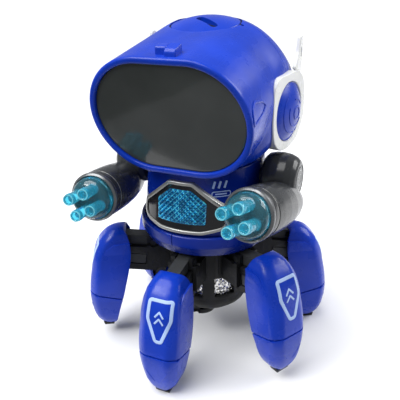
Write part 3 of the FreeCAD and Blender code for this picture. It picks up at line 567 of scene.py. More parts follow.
def dome_reach(start, directions):
    """Distance from a point on the middle plane to the dome, its flat sides and its round chin."""
    offset = start - DOME_CENTRE
    half = directions @ offset
    inside = np.maximum(half ** 2 - (offset @ offset - DOME_RADIUS ** 2), 0)
    ball = np.where(half ** 2 > offset @ offset - DOME_RADIUS ** 2, -half + np.sqrt(inside), 0.0)
    across, up = np.abs(directions[:, 0]), directions[:, 2]
    side = SIDE_X / np.maximum(across, 1e-6)
    floor = np.where(up < 0, (start[2] - HELMET_FLOOR) / np.maximum(-up, 1e-6), 1e6)
    reach = np.minimum(side, floor)
    corner_x, corner_z = SIDE_X - CHIN_RADIUS, HELMET_FLOOR + CHIN_RADIUS
    in_corner = (across * reach > corner_x) & (start[2] + up * reach < corner_z)
    square = across ** 2 + up ** 2
    slope = across * -corner_x + up * (start[2] - corner_z)
    rest = corner_x ** 2 + (start[2] - corner_z) ** 2 - CHIN_RADIUS ** 2
    rounded = (-slope + np.sqrt(np.maximum(slope ** 2 - square * rest, 0))) / np.maximum(square, 1e-9)
    reach = np.where(in_corner, rounded, reach)
    return softer(ball, np.minimum(reach, 1e3), 3.0, -1)


def helmet_rows():
    """Rings of the helmet's outside from the visor rim to the back of the dome."""
    half_height = (DOME_CENTRE[2] + DOME_RADIUS - 1.2 - HELMET_FLOOR) / 2
    back = stadium(SIDE_X, half_height)
    back = np.column_stack([back[:, 0], np.full(len(back), DOME_CENTRE[1]),
                            HELMET_FLOOR + half_height + back[:, 1]])
    mouth = on_mouth(stadium(*RIM))
    middle = np.array([0, DOME_CENTRE[1], HELMET_FLOOR + half_height])
    rows = []
    for share in np.concatenate([np.linspace(0.035, 0.985, 44), [0.993, 0.997, 1.0]]):
        start = (1 - share) * VISOR_CENTRE + share * middle
        arms = (1 - share) * mouth + share * back - start
        hood = np.linalg.norm(arms, axis=1)
        directions = arms / hood[:, None]
        reach = softer(hood, dome_reach(start, directions), 1.4, 1)
        rows.append(start + directions * (reach - (0.5 if share == 1.0 else 0.0))[:, None])
    excess = reach - dome_reach(middle, directions)
    level = directions
    for turn in np.concatenate([[0.005, 0.012], np.linspace(0.03, math.pi / 2 - 0.02, 46), [math.pi / 2]]):
        directions = level * math.cos(turn) + np.array([0, 1.0, 0]) * math.sin(turn)
        fade = max(0.0, 1 - turn / 0.45)
        reach = dome_reach(middle, directions) + excess * fade * fade * (3 - 2 * fade)
        rows.append(middle + directions * reach[:, None])
    return rows


RIM_PROFILE = [(3.5, 4.2), (3.5, 1.3), (3.42, 0.7), (3.15, 0.25), (2.7, 0.04), (2.1, 0.0), (1.3, 0.02),
               (0.75, 0.16), (0.32, 0.5), (0.1, 1.0)]


def on_crown(surface):
    """From the crown cap's own axis to the robot's frame."""
    return moved(surface, rotation("X", CAP_TILT), DOME_CENTRE)


def helmet():
    rows = [np.repeat(on_mouth(np.zeros((1, 2)), 4.2), 2 * (ARC_STEPS + LINE_STEPS), axis=0)]
    rows += [on_mouth(stadium(RIM[0] - inset, RIM[1] - inset), depth) for inset, depth in RIM_PROFILE]
    shell = piece("helmet", lofted(rows + helmet_rows()), "head", "blue_shell")
    cut_by(shell, on_crown(plug(CAP_RADIUS + 0.55, DOME_RADIUS - 6, DOME_RADIUS + 6)))
    cut_by(shell, plug(24.4, 120, 136))
    reach = math.sqrt(DOME_RADIUS ** 2 - CAP_RADIUS ** 2)
    for side in (-1, 1):
        spot = DOME_CENTRE + np.array([side * (CAP_RADIUS + 0.9), -math.sin(CAP_TILT) * reach,
                                       math.cos(CAP_TILT) * reach])
        cut_by(shell, slab((3.4, 2.2, 3.0), rotation("X", CAP_TILT), spot))
    bevelled(shell, 0.35)
    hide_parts("helmet_front", "helmet_rear")
    cheek_marks()


# The hood's half height where it meets the dome, and how far its middle has risen by then.
HOOD_BACK_HALF, HOOD_RISE = 36.95, 7.25


def hood_surface(side, y, z):
    """A point on the cheek of the hood and its outward normal, by the hood's own sloping side."""
    share = (y - VISOR_CENTRE[1] + (z - VISOR_CENTRE[2]) * math.sin(VISOR_TILT)) / (
        DOME_CENTRE[1] - VISOR_CENTRE[1])
    half_width = RIM[0] + share * (SIDE_X - RIM[0])
    half_height = RIM[1] + share * (HOOD_BACK_HALF - RIM[1])
    up = z - (VISOR_CENTRE[2] + share * HOOD_RISE)
    bow = math.sqrt(max(half_height ** 2 - up ** 2, 1.0))
    normal = np.array([side * bow / half_height, 0.0, up / half_height])
    return np.array([side * (half_width - half_height + bow), y, z]), normal


CHEEK_EDGE = [(-48.0, 160.6), (-48.2, 167.6), (-43.0, 171.2), (-33.0, 169.4), (-28.6, 166.4), (-34.0, 163.4),
              (-42.0, 161.6)]


def cheek_marks():
    """A raised rounded outline on each cheek, just behind the visor's rim."""
    for side, word in reversed(SIDES):
        path = [hood_surface(side, y, z) for y, z in dense(CHEEK_EDGE, 0.7, 1.8)]
        mark = piece("cheek_mark_" + word, stroke(path, 1.6, 0.5), "head", "blue_shell", 50)
        modify(mark, "SUBSURF", levels=1, render_levels=1)


# The smoked window from its back to its middle: the share of its outline, and how deep it lies.
VISOR_ROWS = ((0.0, 3.9), (1.0, 3.9), (1.0, 1.95), (0.9965, 1.72), (0.99, 1.6), (0.975, 1.52), (0.95, 1.46),
              (0.85, 1.3), (0.7, 1.08), (0.5, 0.84), (0.3, 0.7), (0.1, 0.62), (0.0, 0.6))


def visor():
    """The smoked window, very slightly bowed, with a rounded border."""
    rows = [on_mouth(stadium(*LENS) * share, sunk) for share, sunk in VISOR_ROWS]
    glass = piece("visor", lofted(rows), "head", "smoked_visor", 60)
    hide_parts("visor_lens")


SLOT_SHIFT, SLOT_TURN = np.array([3.6, -6.6]), math.radians(33)


def crown_cap():
    """The round cap flush with the dome, with its coin slot and a black plug at the slot's floor as painted
    shade.
    """
    radius = CAP_RADIUS - 0.3
    edge = math.asin(radius / DOME_RADIUS)
    lip = DOME_RADIUS * math.cos(edge)
    angles = edge * np.linspace(0, 1, 26) * 0.985
    profile = [(DOME_RADIUS * math.sin(angle), DOME_RADIUS * math.cos(angle)) for angle in angles]
    profile += [(radius - 0.12, lip - 0.12), (radius, lip - 0.5), (radius, lip - 3.0), (0, lip - 3.0)]
    gasket = lathe([(radius - 0.3, lip - 2.6), (radius - 0.3, lip - 0.2), (CAP_RADIUS + 0.6, lip - 0.45),
                    (CAP_RADIUS + 0.6, lip - 2.6)], 128)
    piece("crown_gasket", on_crown(gasket), "head", "black_frame", 40)
    cap = piece("crown_cap_dish", on_crown(lathe(profile, 128)), "crown", "blue_shell", 40)
    ring = stadium(8.5, 2.1) @ np.array(Matrix.Rotation(SLOT_TURN, 2))
    # The second solid is a black plug at the floor of the slot: painted shade standing for the dark hollow
    # under the slot.
    slot, lining = (
        on_crown(lofted([level_ring(ring * share + SLOT_SHIFT, height) for share, height in rows], True))
        for rows in (((0.95, 46.2), (1.0, 46.6), (1.04, 54)), ((0.97, 46.0), (0.97, 48.6))))
    piece("slot_painted_shade", lining, "crown", "black_frame", 40)
    cut_by(cap, slot)
    bevelled(cap, 0.3)
    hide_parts("crown_cap")


def brow_knob():
    """The small block over the visor: a flat step on its right and a raised ramp on its left."""
    step = prism([(-52.2, 189), (-52.4, 196.0), (-51.6, 196.9), (-47.2, 197.5), (-46.4, 190)], -3.2, 2.8)
    ramp = prism([(-54.3, 189), (-54.4, 194.4), (-53.4, 196.0), (-47.0, 197.8), (-46.2, 190)], 2.6, 8.8)
    knob = piece("brow_block", joined(step, ramp), "head", "blue_shell", 30)
    rounded(knob, 0.55)
    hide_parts("brow_knob")


PAD_EDGE = [(-10, 175.5), (16, 175.5), (24, 171), (28, 161), (27, 146), (18, 135), (4, 132.5), (-7, 134.5),
            (-14, 141), (-16, 150), (-15.5, 170)]
FIN_EDGE = [(16, 176), (27.5, 171), (30.5, 180), (30.2, 192), (25.5, 192.8), (22.5, 184)]


def toed(side, surface):
    """An ear's surface, turned a little forward about the ear's middle."""
    middle = np.array([side * EAR[0], EAR[1], 0])
    return moved(moved(surface, None, -middle), rotation("Z", -side * EAR_TURN), middle)


def on_ear(side, surface, out=0.0):
    """From an ear's own axis to its place, its base a distance out from the middle."""
    return toed(side, moved(surface, rotation("Y", side * math.pi / 2), (side * out, EAR[1], EAR[2])))


def ears():
    base = EAR[0] - 0.9
    ball = (DISC_RADIUS ** 2 + DISC_HEIGHT ** 2) / (2 * DISC_HEIGHT)
    centre = base + DISC_HEIGHT - ball
    edge = math.asin((DISC_RADIUS - 0.35) / ball)
    profile = [(0, base - 0.25), (DISC_RADIUS - 0.1, base - 0.25), (DISC_RADIUS, base),
               (DISC_RADIUS, base + 0.5)]
    profile += [(ball * math.sin(edge * share), centre + ball * math.cos(edge * share))
                for share in np.linspace(1, 0, 24)]
    arcs = []
    for radius, start, end in ((11.6, -150, 30), (7.6, -120, 60), (7.6, 120, 190), (3.4, 0, 360)):
        path = []
        for angle in np.radians(np.arange(start, end, 4.0)):
            spot = np.array([radius * math.cos(angle), radius * math.sin(angle),
                             centre + math.sqrt(ball ** 2 - radius ** 2)])
            path.append((spot, (spot - np.array([0, 0, centre])) / ball))
        arcs.append(stroke(path, 0.9, 0.35, closed=end - start == 360))
    for side, word in SIDES:
        pad = prism(dense(PAD_EDGE, 2.5, 5.0), side * 41.0, side * (EAR[0] - 0.05))
        white = piece("ear_plate_" + word, toed(side, pad), "head", "white_trim", 30)
        cut_by(white, on_ear(side, plug(DISC_RADIUS + 0.45, -1.2, 4), EAR[0]))
        rounded(white, 0.9, 4, 40)
        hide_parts("ear_pad_" + word)
        fin = prism(dense(FIN_EDGE, 2.0, 1.6), side * 46.15, side * 48.5)
        blade = piece("ear_fin_" + word, fin, "head", "white_trim", 30)
        cut_by(blade, slab((8, 1.5, 5.0), None, (side * 47, 26.9, 183.5)))
        rounded(blade, 0.5, 3, 40)
        disc = piece("ear_dome_" + word, on_ear(side, lathe(profile)), "head", "blue_shell", 40)
        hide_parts("ear_disc_" + word)
        piece("ear_lines_" + word, on_ear(side, joined(*arcs)), "head", "blue_shell", 50)


# ------------------------------------------------------------------ torso

def torso():
    profile = eased([(0, 82.3), (38.4, 82.3), (TORSO_RADIUS, 83.2), (TORSO_RADIUS, TORSO_SHOULDER),
                     (TORSO_TOP_RADIUS, TORSO_TOP), (0, TORSO_TOP)], 1.0)
    # The torso and skirt take navy_shell, whose darker blue is painted shade.
    body = piece("torso_shell", lathe(profile, 160), "base", "navy_shell", 35)
    cut_by(body, slab((38.7, 20, 26.7), None, (0, 36.0, 103.0)))
    cut_by(body, slab((10, 10, 3.2), None, (0, 36.0, 122.0)))
    for side in (-1, 1):
        lean = rotation("Y", -side * math.radians(6.3))
        cut_by(body, slab((3.0, 0.45, 60), lean, (side * 37.6, -1.2, 106)))
    bevelled(body, 0.3)
    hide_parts("torso_front", "torso_rear")

    outline = eased([(12, 82), (12, 80), (38.9, 80), (36.9, 75.6), (38.5, 75.5), (42, 82), (42, 88.2),
                     (41.2, 89), (39.6, 89), (39.45, 82), (12, 82)], 0.7)
    ring = piece("skirt", lathe(outline, 160), "base", "navy_shell", 35)
    split = math.radians(-97)
    spot = (41.9 * math.cos(split), 41.9 * math.sin(split), 82)
    cut_by(ring, slab((1.6, 0.5, 16), rotation("Z", split), spot))
    bevelled(ring, 0.3)
    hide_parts("waist_skirt")


PANEL_EDGE = [(-7.6, 121.2), (-26.8, 105.0), (-27.4, 97.5), (-24.5, 93.6), (-13.0, 91.2), (13.0, 91.2),
              (24.5, 93.6), (27.4, 97.5), (26.8, 105.0), (7.6, 121.2)]
LENS_EDGE = [(-6.4, 116.6), (-15.2, 109.4), (-15.0, 97.0), (15.0, 97.0), (15.2, 109.4), (6.4, 116.6)]


def shrunk(corners, margin):
    """A convex outline drawn in by a margin, each edge moved square to itself."""
    corners = np.array(corners, float)
    along = np.roll(corners, -1, axis=0) - corners
    along /= np.linalg.norm(along, axis=1)[:, None]
    inward = np.stack([-along[:, 1], along[:, 0]], axis=1)
    before = np.roll(inward, 1, axis=0)
    spread = 1 + np.sum(inward * before, axis=1)
    return corners + margin * (inward + before) / spread[:, None]


def resampled(corners, count, rounding):
    """Points spread evenly along a rounded closed outline, from its first edge on."""
    outline = np.array(dense(list(corners), 0.2, rounding))
    ring = np.concatenate([outline, outline[:1]])
    steps = np.concatenate([[0], np.cumsum(np.linalg.norm(np.diff(ring, axis=0), axis=1))])
    spots = np.linspace(0, steps[-1], count, endpoint=False)
    return np.stack([np.interp(spots, steps, ring[:, axis]) for axis in (0, 1)], axis=1)


def on_panel(outline, lift):
    """Points (across, height) wrapped on the sloping front of the torso."""
    outline = np.asarray(outline, float)
    share = (outline[:, 1] - PANEL_LOW) / (PANEL_HIGH - PANEL_LOW)
    radius = PANEL_RADIUS + share * (PANEL_TOP_RADIUS - PANEL_RADIUS) + lift
    depth = np.sqrt(np.maximum(radius ** 2 - outline[:, 0] ** 2, 1.0))
    return np.stack([outline[:, 0], -depth, outline[:, 1]], axis=1)


OUTLINE_POINTS = 260
FACET_PITCH_X, FACET_PITCH_Z = 2.75, 1.48
FACET_HALF_X, FACET_HALF_Z = 1.3, 1.34
FACET_LEAST = 0.9


def chest():
    rows = [on_panel(resampled(shrunk(PANEL_EDGE, inset), OUTLINE_POINTS, 1.6), lift) for inset, lift in
            ((0.0, -2.6), (0.0, -0.5), (0.12, -0.15), (0.4, 0.0), (1.55, 0.0), (1.8, -0.12), (1.92, -0.5),
             (1.92, -1.6))]
    bezel = piece("chest_frame", lofted(rows), "base", "silver_trim", 50)
    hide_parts("chest_bezel")

    outer = resampled(shrunk(PANEL_EDGE, 1.94), OUTLINE_POINTS, 1.4)
    inner = resampled(LENS_EDGE, OUTLINE_POINTS, 1.2)
    rows = [on_panel(outer, -1.7)]
    for share in np.linspace(0, 1, 14):
        lift = -0.7 - (0.12 if share in (0.0, 1.0) else 0.0)
        rows.append(on_panel(outer * (1 - share) + inner * share, lift))
    rows.append(on_panel(inner, -2.0))
    plate = piece("chest_plate", lofted(rows), "base", "black_gloss", 50)
    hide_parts("chest_panel")

    edge = shrunk(LENS_EDGE, 0.12)
    rows = [on_panel(resampled(shrunk(edge, inset), OUTLINE_POINTS, 1.0), lift)
            for inset, lift in ((0.0, -2.0), (0.0, -0.5), (0.15, -0.28), (0.5, -0.22), (1.0, -0.35))]
    rows.append(on_panel(np.repeat(np.array([[0.0, 106.0]]), OUTLINE_POINTS, axis=0), -0.5))
    lens = piece("chest_window", joined(lofted(rows), *lens_facets()), "base", "lens_blue", 12)
    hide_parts("chest_lens")
    torso_marks()


def lens_facets():
    """Low four-sided pyramids in staggered rows, drawn in at the window's edge."""
    limit = [np.array(corner) for corner in shrunk(LENS_EDGE, 1.1)]
    around = ((0, 0), (FACET_HALF_X, 0), (0, FACET_HALF_Z), (-FACET_HALF_X, 0), (0, -FACET_HALF_Z))
    faces = [(i, (i + 1) % 4, 4 + (i + 1) % 4, 4 + i) for i in range(4)]
    faces += [(4 + i, 4 + (i + 1) % 4, 8) for i in range(4)]
    facets = []
    for row in range(14):
        for column in range(-6, 7):
            x = (column + 0.5 * (row % 2)) * FACET_PITCH_X
            z = 97.4 + row * FACET_PITCH_Z
            spots = [inside_convex(np.array([x + dx, z + dz]), limit) for dx, dz in around]
            if min(np.linalg.norm(spots[1] - spots[3]), np.linalg.norm(spots[2] - spots[4])) >= FACET_LEAST:
                rim = on_panel(spots[1:], -0.4)
                middle = on_panel([spots[0] * 0.5 + spot * 0.5 for spot in spots[1:]], 0.26)
                facets.append((np.concatenate([rim, middle, on_panel([spots[0]], 0.34)]), faces))
    return facets


def inside_convex(spot, corners):
    """The spot, drawn to the nearest place inside a convex outline."""
    middle = sum(corners) / len(corners)
    for start, end in zip(corners, corners[1:] + corners[:1]):
        along = (end - start) / np.linalg.norm(end - start)
        inward = np.array([-along[1], along[0]])
        if (middle - start) @ inward < 0:
            inward = -inward
        short = (spot - start) @ inward
        if short < 0:
            spot = spot - inward * short
    return spot


def on_torso(x, z):
    """A point on the front of the torso's tapering wall and its outward normal."""
    fall = z - TORSO_SHOULDER
    radius = TORSO_RADIUS - fall * (TORSO_RADIUS - TORSO_TOP_RADIUS) / (TORSO_TOP - TORSO_SHOULDER)
    y = -math.sqrt(radius ** 2 - x ** 2)
    return np.array([x, y, z]), np.array([x, y, 4.0]) / math.hypot(radius, 4.0)


def torso_marks():
    """Generic printed marks beside the panel: three slanted bars over a pill outline."""
    parts = []
    for start in (17.2, 19.9, 22.6):
        path = [on_torso(start + 0.9 * share, 117.4 + 4.0 * share) for share in np.linspace(0, 1, 8)]
        parts.append(stroke(path, 1.25, 0.06, closed=False))
    pill = dense([(16.8, 112.6), (25.4, 112.6), (25.4, 115.4), (16.8, 115.4)], 0.5, 1.1)
    parts.append(stroke([on_torso(x, z) for x, z in pill], 0.45, 0.06))
    bar = [on_torso(x, 114.0) for x in np.linspace(18.4, 23.8, 12)]
    parts.append(stroke(bar, 0.7, 0.06, closed=False))
    piece("torso_print", joined(*parts), "base", "silver_trim", 0, "print_ink")


# ------------------------------------------------------------------ arms

def arm_place(word, surface, fist=False):
    """From a shoulder's or forearm's own axis to the robot's frame."""
    side = dict((name, sign) for sign, name in SIDES)[word]
    if fist:
        turn = rotation("Z", -side * FIST_YAW) @ rotation("X", math.pi / 2)
        surface = moved(surface, turn, (side * FIST_X, 0, -FIST_DROP))
    else:
        surface = moved(surface, rotation("Y", side * math.pi / 2))
    return moved(surface, rotation("X", -ARM_PITCH[word]), ARM_PIVOT)


SHOULDER_PROFILE = eased(raised(SHOULDER_X, [
    (0, -9), (5, -9), (5, 0), (11.8, 0), (13.9, 2), (14.8, 5.5), (15, 9.5), (14.4, 14), (12.9, 17.6),
    (11, 19.6), (9.6, 20.2), (8.9, 20.2), (8.6, 19.8), (7.7, 19.8), (7.4, 20.2), (0, 20.2)]), 0.5)
SLEEVE_PROFILE = eased([
    (0, -9), (4.2, -8.6), (7.2, -6), (9.6, 0), (11.7, 8), (13.2, 18), (14.0, 29), (14.2, 38), (14.0, 45.0),
    (13.85, 45.3), (13.35, 45.7), (13.35, 46.0), (13.85, 46.3), (13.75, FIST_REACH - 4.4),
    (13.2, FIST_REACH - 3.9), (11.0, FIST_REACH - 3.9), (11.0, 30), (0, 30)], 0.5)
MUZZLE_PROFILE = eased(raised(FIST_REACH, [
    (12.2, -4), (13.75, -4), (14.25, -2.6), (14.1, -1.0), (13.0, 0), (12.6, -0.1), (12.2, -0.6),
    (12.2, -4)]), 0.35)
GLASS_PROFILE = eased(raised(FIST_REACH, [
    (0, -2.4), (10.6, -2.4), (11.0, -3.9), (12.15, -3.9), (12.15, 0.6), (11.9, 2.1), (11.1, 3.9), (9.6, 5.4),
    (7.4, 6.4), (4.0, 7.0), (0, 7.2)]), 0.9)
TUBE_PROFILE = eased(raised(FIST_REACH, [
    (0, 3.4), (3.15, 3.4), (3.15, 12.6), (3.35, 13.1), (3.35, 15.2), (3.0, 16.2), (2.3, 16.2), (2.05, 15.6),
    (1.95, 12.6), (0, 12.3)]), 0.4)
LIP_PROFILE = raised(FIST_REACH, [(3.05, 16.05), (3.05, 16.4), (2.55, 16.4), (2.55, 16.05)])
BOWL_PROFILE = eased([(0, 32), (9.0, 33), (10.7, 40), (10.7, FIST_REACH - 7.4), (9.9, FIST_REACH - 7.4),
                      (9.9, 41), (0, 36)], 0.5)
TUBE_SPREAD, TUBE_TURN = 6.75, 70


def shoulder_print():
    """Two rings and six spokes on a shoulder's end."""
    def spot(radius, turn):
        return np.array([radius * math.cos(turn), radius * math.sin(turn), SHOULDER_X + 20.18]), (0, 0, 1.0)

    parts = []
    for radius, width in ((5.7, 0.75), (3.4, 0.6)):
        parts.append(stroke([spot(radius, turn) for turn in np.radians(np.arange(0, 360, 6))], width, 0.12))
    for turn in np.radians(np.arange(0, 360, 60)):
        parts.append(stroke([spot(radius, turn) for radius in (3.9, 4.4, 4.9)], 0.8, 0.12, closed=False))
    return joined(*parts)


def four_times(surface):
    """A tube's surface at the four places round a blaster."""
    turns = [math.radians(90 * quarter + TUBE_TURN) for quarter in range(4)]
    return joined(*[moved(surface, None, (TUBE_SPREAD * math.cos(turn), TUBE_SPREAD * math.sin(turn), 0))
                    for turn in turns])


def arms():
    for word in ("left", "right"):
        body = "arm_" + word
        shoulder = piece("shoulder_cup_" + word, arm_place(word, lathe(SHOULDER_PROFILE, 128)),
                         body, "charcoal_shell")
        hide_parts("shoulder_" + word)
        piece("shoulder_print_" + word, arm_place(word, shoulder_print()), body, "silver_trim", 0,
              "print_grey")

        glove = piece("forearm_shell_" + word, arm_place(word, lathe(SLEEVE_PROFILE, 144), True),
                      body, "charcoal_shell")
        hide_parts("forearm_" + word)
        seam = lathe([(13.3, 45.62), (13.72, 45.72), (13.72, 45.98), (13.3, 46.08)], 144)
        piece("forearm_seam_" + word, arm_place(word, seam, True), body, "silver_trim", 0)
        muzzle = piece("muzzle_band_" + word, arm_place(word, lathe(MUZZLE_PROFILE, 144), True),
                       body, "silver_trim", look="muzzle_silver")
        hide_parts("muzzle_ring_" + word)
        tubes = piece("blaster_tubes_" + word, arm_place(word, four_times(lathe(TUBE_PROFILE, 56)), True),
                      body, "clear_blue", 35)
        # The lip rings take a paler, glowing cyan: painted highlight on the barrel rims.
        piece("blaster_lips_" + word, arm_place(word, four_times(lathe(LIP_PROFILE, 56)), True),
              body, "clear_blue", 35, "clear_lip")
        glass = piece("blaster_glass_" + word, arm_place(word, lathe(GLASS_PROFILE, 128), True),
                      body, "clear_blue", 35, "clear_dome")
        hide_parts("blaster_lens_" + word)
        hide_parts("blaster_lens_" + word)
        piece("blaster_bowl_" + word, arm_place(word, lathe(BOWL_PROFILE, 72), True),
              body, "charcoal_shell", 35)


# ------------------------------------------------------------------ legs

# A leg's height, and its back, front and half width there.
LEG_STATIONS = np.array([
    (2.2, 65.0, 73.8, 5.2), (4.5, 64.0, 75.4, 7.2), (10.0, 62.5, 77.6, 9.9), (18.0, 60.3, 79.0, 11.5),
    (27.0, 57.5, 79.4, 12.6), (36.0, 55.2, 78.5, 12.9), (48.0, 52.2, 76.2, 12.5), (58.0, 50.6, 73.8, 11.8),
    (64.0, 50.7, 70.9, 10.9), (68.4, 51.8, 67.2, 9.4), (71.2, 53.2, 63.8, 7.4), (72.6, 54.8, 61.0, 4.8),
    (73.1, 56.4, 59.2, 2.2)])
LEG_BEVEL, LEG_PANEL = 4.2, 0.6


def leg_sizes(height):
    """Back, front and half width of a leg at a height, on a curve through its stations."""
    heights = LEG_STATIONS[:, 0]
    index = int(np.clip(np.searchsorted(heights, height) - 1, 0, len(heights) - 2))
    slopes = np.gradient(LEG_STATIONS[:, 1:], heights, axis=0)
    span = heights[index + 1] - heights[index]
    t = (height - heights[index]) / span
    start, end = LEG_STATIONS[index, 1:], LEG_STATIONS[index + 1, 1:]
    return ((2 * t ** 3 - 3 * t ** 2 + 1) * start + (t ** 3 - 2 * t ** 2 + t) * span * slopes[index]
            + (3 * t ** 2 - 2 * t ** 3) * end + (t ** 3 - t ** 2) * span * slopes[index + 1])


def leg_section(height, inset=0.0, rounding=2.4):
    back, front, half = leg_sizes(height)
    front, half, back = front - inset, half - inset, back - 3 * inset
    bevel = min(LEG_BEVEL, 0.5 * (front - back))
    corners = [(back, -half), (front - bevel, -half), (front, -LEG_PANEL * half),
               (front, LEG_PANEL * half), (front - bevel, half), (back, half)]
    outline = np.array(eased(corners, rounding, 5))
    return np.column_stack([outline, np.full(len(outline), height)])


def leg_surface(across, height):
    """A point on a leg's front and its outward normal."""
    section = leg_section(height)[1:-1]
    above = leg_section(height + 0.5)[1:-1]
    reach = np.interp(across, section[:, 1], section[:, 0])
    slope = (np.interp(across, above[:, 1], above[:, 0]) - reach) / 0.5
    bend = (np.interp(across + 0.3, section[:, 1], section[:, 0])
            - np.interp(across - 0.3, section[:, 1], section[:, 0])) / 0.6
    normal = np.array([1.0, -bend, -slope])
    return np.array([reach, across, height]), normal / np.linalg.norm(normal)


def leg_turn(leg):
    return rotation("Z", math.radians(60 * leg - 90))


def leg_lift(leg):
    """How far a leg stands off the floor at rest: every second one is raised."""
    return 2 * LINK_LENGTH * math.sin(LEG_SWING) if leg % 2 else 0.0


def leg_place(leg, surface):
    return moved(surface, leg_turn(leg), (0, 0, leg_lift(leg)))


def seam_liner():
    """A band inside the shell, behind the groove between tip and cover."""
    outside, inside = [], []
    for height in np.arange(22, 40, 2.0):
        for rows, inset in ((outside, 1.0), (inside, 1.7)):
            row = leg_section(height, inset, 1.0)
            row[:, 0] = np.maximum(row[:, 0], leg_sizes(height)[0] + inset)
            rows.append(row)
    return leg_place(0, lofted(outside + inside[::-1] + outside[:1]))


FLANK_EDGE = [(52.4, 50), (69.0, 50), (68.4, 56), (66.0, 61.0), (61.4, 64.4), (55.5, 65.2), (50.7, 65.4),
              (51.2, 58)]
EMBLEM = [(-6.6, 64.0), (6.6, 64.0), (6.9, 54.0), (1.8, 41.0), (-1.8, 41.0), (-6.9, 54.0)]
CHEVRONS = [[(-2.7, 55.2), (0.0, 58.4), (2.7, 55.2)], [(-2.7, 51.4), (0.0, 54.6), (2.7, 51.4)]]
EMBLEM_SHIFT = {0: 2.0, 1: 0.3}

SHELL_HEIGHTS = np.concatenate([[2.2, 2.5, 3.2, 4.2, 5.6], np.arange(7, 64, 1.5), np.arange(64, 72.8, 0.4),
                                [72.9, 73.1]])
HOLLOW_HEIGHTS = (5.0, 8.0, 12, 18, 24, 30, 36, 42, 48, 54, 60, 64, 67, 69.4, 70.6)
# The groove and the two notches at its back corners: size, and place along the slope and across.
GROOVE_CUTS = (((80, 60, 1.1), 0, 0), ((2.6, 3.0, 2.0), -4.6, 12.9), ((2.6, 3.0, 2.0), -4.6, -12.9))


def first_leg_shell():
    outside = lofted([leg_section(height) for height in SHELL_HEIGHTS], True)
    hollow = lofted([leg_section(height, 1.8, 0.8) for height in HOLLOW_HEIGHTS], True)
    shell = piece("leg_cover_1", leg_place(0, outside), "leg_1", "blue_shell", 30)
    cut_by(shell, leg_place(0, hollow), 30)
    reach, height, slope = GROOVE
    for size_xyz, out, across in GROOVE_CUTS:
        spot = (reach + out, across, height + out * math.tan(slope))
        cut_by(shell, leg_place(0, slab(size_xyz, rotation("Y", -slope), spot)), 30)
    merge(shell, seam_liner())
    for side in (-1, 1):
        merge(shell, leg_place(0, prism(FLANK_EDGE, side * 8.4, side * 11.8, "Y")))
    bevelled(shell, 0.45, 3, 48)
    return applied(shell, 40)


def leg_strokes(lines, spacing, width, height, shift=0.0):
    """Open strokes on a leg's front."""
    paths = [[leg_surface(x + shift, z) for x, z in dense(line, spacing, closed=False)] for line in lines]
    return [stroke(path, width, height, closed=False) for path in paths]


def leg_emblem(leg, tag):
    """The printed shield on a leg's front with two plain chevrons inside it."""
    shift = EMBLEM_SHIFT.get(leg, 0.0)
    shield = stroke([leg_surface(x + shift, z) for x, z in dense(EMBLEM, 0.6, 1.3)], 2.0, 0.07)
    marks = joined(shield, *leg_strokes(CHEVRONS, 0.5, 1.1, 0.07, shift))
    piece("leg_print" + tag, leg_place(leg, marks), "leg" + tag, "silver_trim", 0, "print_ink")


def leg_ribs(leg, tag):
    """Low slanting ribs on the front of a tip."""
    ribs = leg_strokes(([(-7.0, 20.5), (-1.6, 12.0)], [(7.0, 20.5), (1.6, 12.0)]), 0.7, 0.8, 0.16)
    piece("leg_rib" + tag, leg_place(leg, joined(*ribs)), "leg" + tag, "blue_shell", 50)


def legs():
    first = first_leg_shell()
    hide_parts("leg_shell_1")
    for leg in range(1, LEG_COUNT):
        mesh = first.data.copy()
        lift = Matrix.Translation((0, 0, leg_lift(leg) * MM))
        mesh.transform(lift @ Matrix.Rotation(math.radians(60 * leg), 4, "Z"))
        tag = "_%d" % (leg + 1)
        cover = linked("leg_cover" + tag, mesh)
        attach(cover, "leg" + tag)
        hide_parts("leg_shell" + tag)
    for leg in range(LEG_COUNT):
        tag = "_%d" % (leg + 1)
        leg_emblem(leg, tag)
        leg_ribs(leg, tag)


# ------------------------------------------------------------------ base

FOIL_RADIUS, FOIL_LOW, FOIL_HIGH = 24.85, 37.2, 53.3


def foil_ring():
    """The crumpled bright lining behind the windows of the drum."""
    turns = np.linspace(0, 2 * math.pi, 200, endpoint=False)
    rings = []
    for row, height in enumerate(np.linspace(FOIL_LOW, FOIL_HIGH, 15)):
        crumple = rng.uniform(-0.75, 0.0, len(turns)) if 0 < row < 14 else np.full(len(turns), -0.3)
        radius = FOIL_RADIUS + crumple
        shift = turns + rng.uniform(-0.01, 0.01, len(turns))
        rings.append(level_ring(np.stack([radius * np.cos(shift), radius * np.sin(shift)], axis=1), height))
    inner = lathe([(24.4, FOIL_LOW), (23.6, FOIL_LOW), (23.6, FOIL_HIGH), (24.4, FOIL_HIGH)], 100)
    lining = piece("foil_lining", joined(lofted(rings), inner), "base", "foil", 8)
    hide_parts("reflector_ring")


DRUM_RADIUS = 27.0


def drum_ribs():
    """Upright ribs on the black drum, every third one left out."""
    ribs = []
    for number in range(24):
        if number % 3 != 1:
            angle = math.radians(15 * number + 7.5 - 90)
            spot = (DRUM_RADIUS * math.cos(angle), DRUM_RADIUS * math.sin(angle), 64.5)
            ribs.append(slab((1.6, 1.3, 21), rotation("Z", angle), spot))
    rounded(piece("drum_ribs", joined(*ribs), "base", "black_frame", 30), 0.35, 2)


def arm_inlays():
    """Grey panels set in the hollows on both sides of each leg's lower arm."""
    panels = joined(*[slab((11.0, 0.5, 6.6), None, (11.0, side * 6.0, 0.55)) for side in (-1, 1)])
    for leg in range(LEG_COUNT):
        swing = LEG_SWING if leg % 2 else -LEG_SWING
        inlay = moved(moved(panels, rotation("Y", -swing), (36.0, 0, 56.5)), leg_turn(leg))
        tag = "_%d" % (leg + 1)
        rounded(piece("arm_inlay" + tag, inlay, "swing" + tag, "grey_link", 30), 0.2, 2)


# ------------------------------------------------------------------ stage

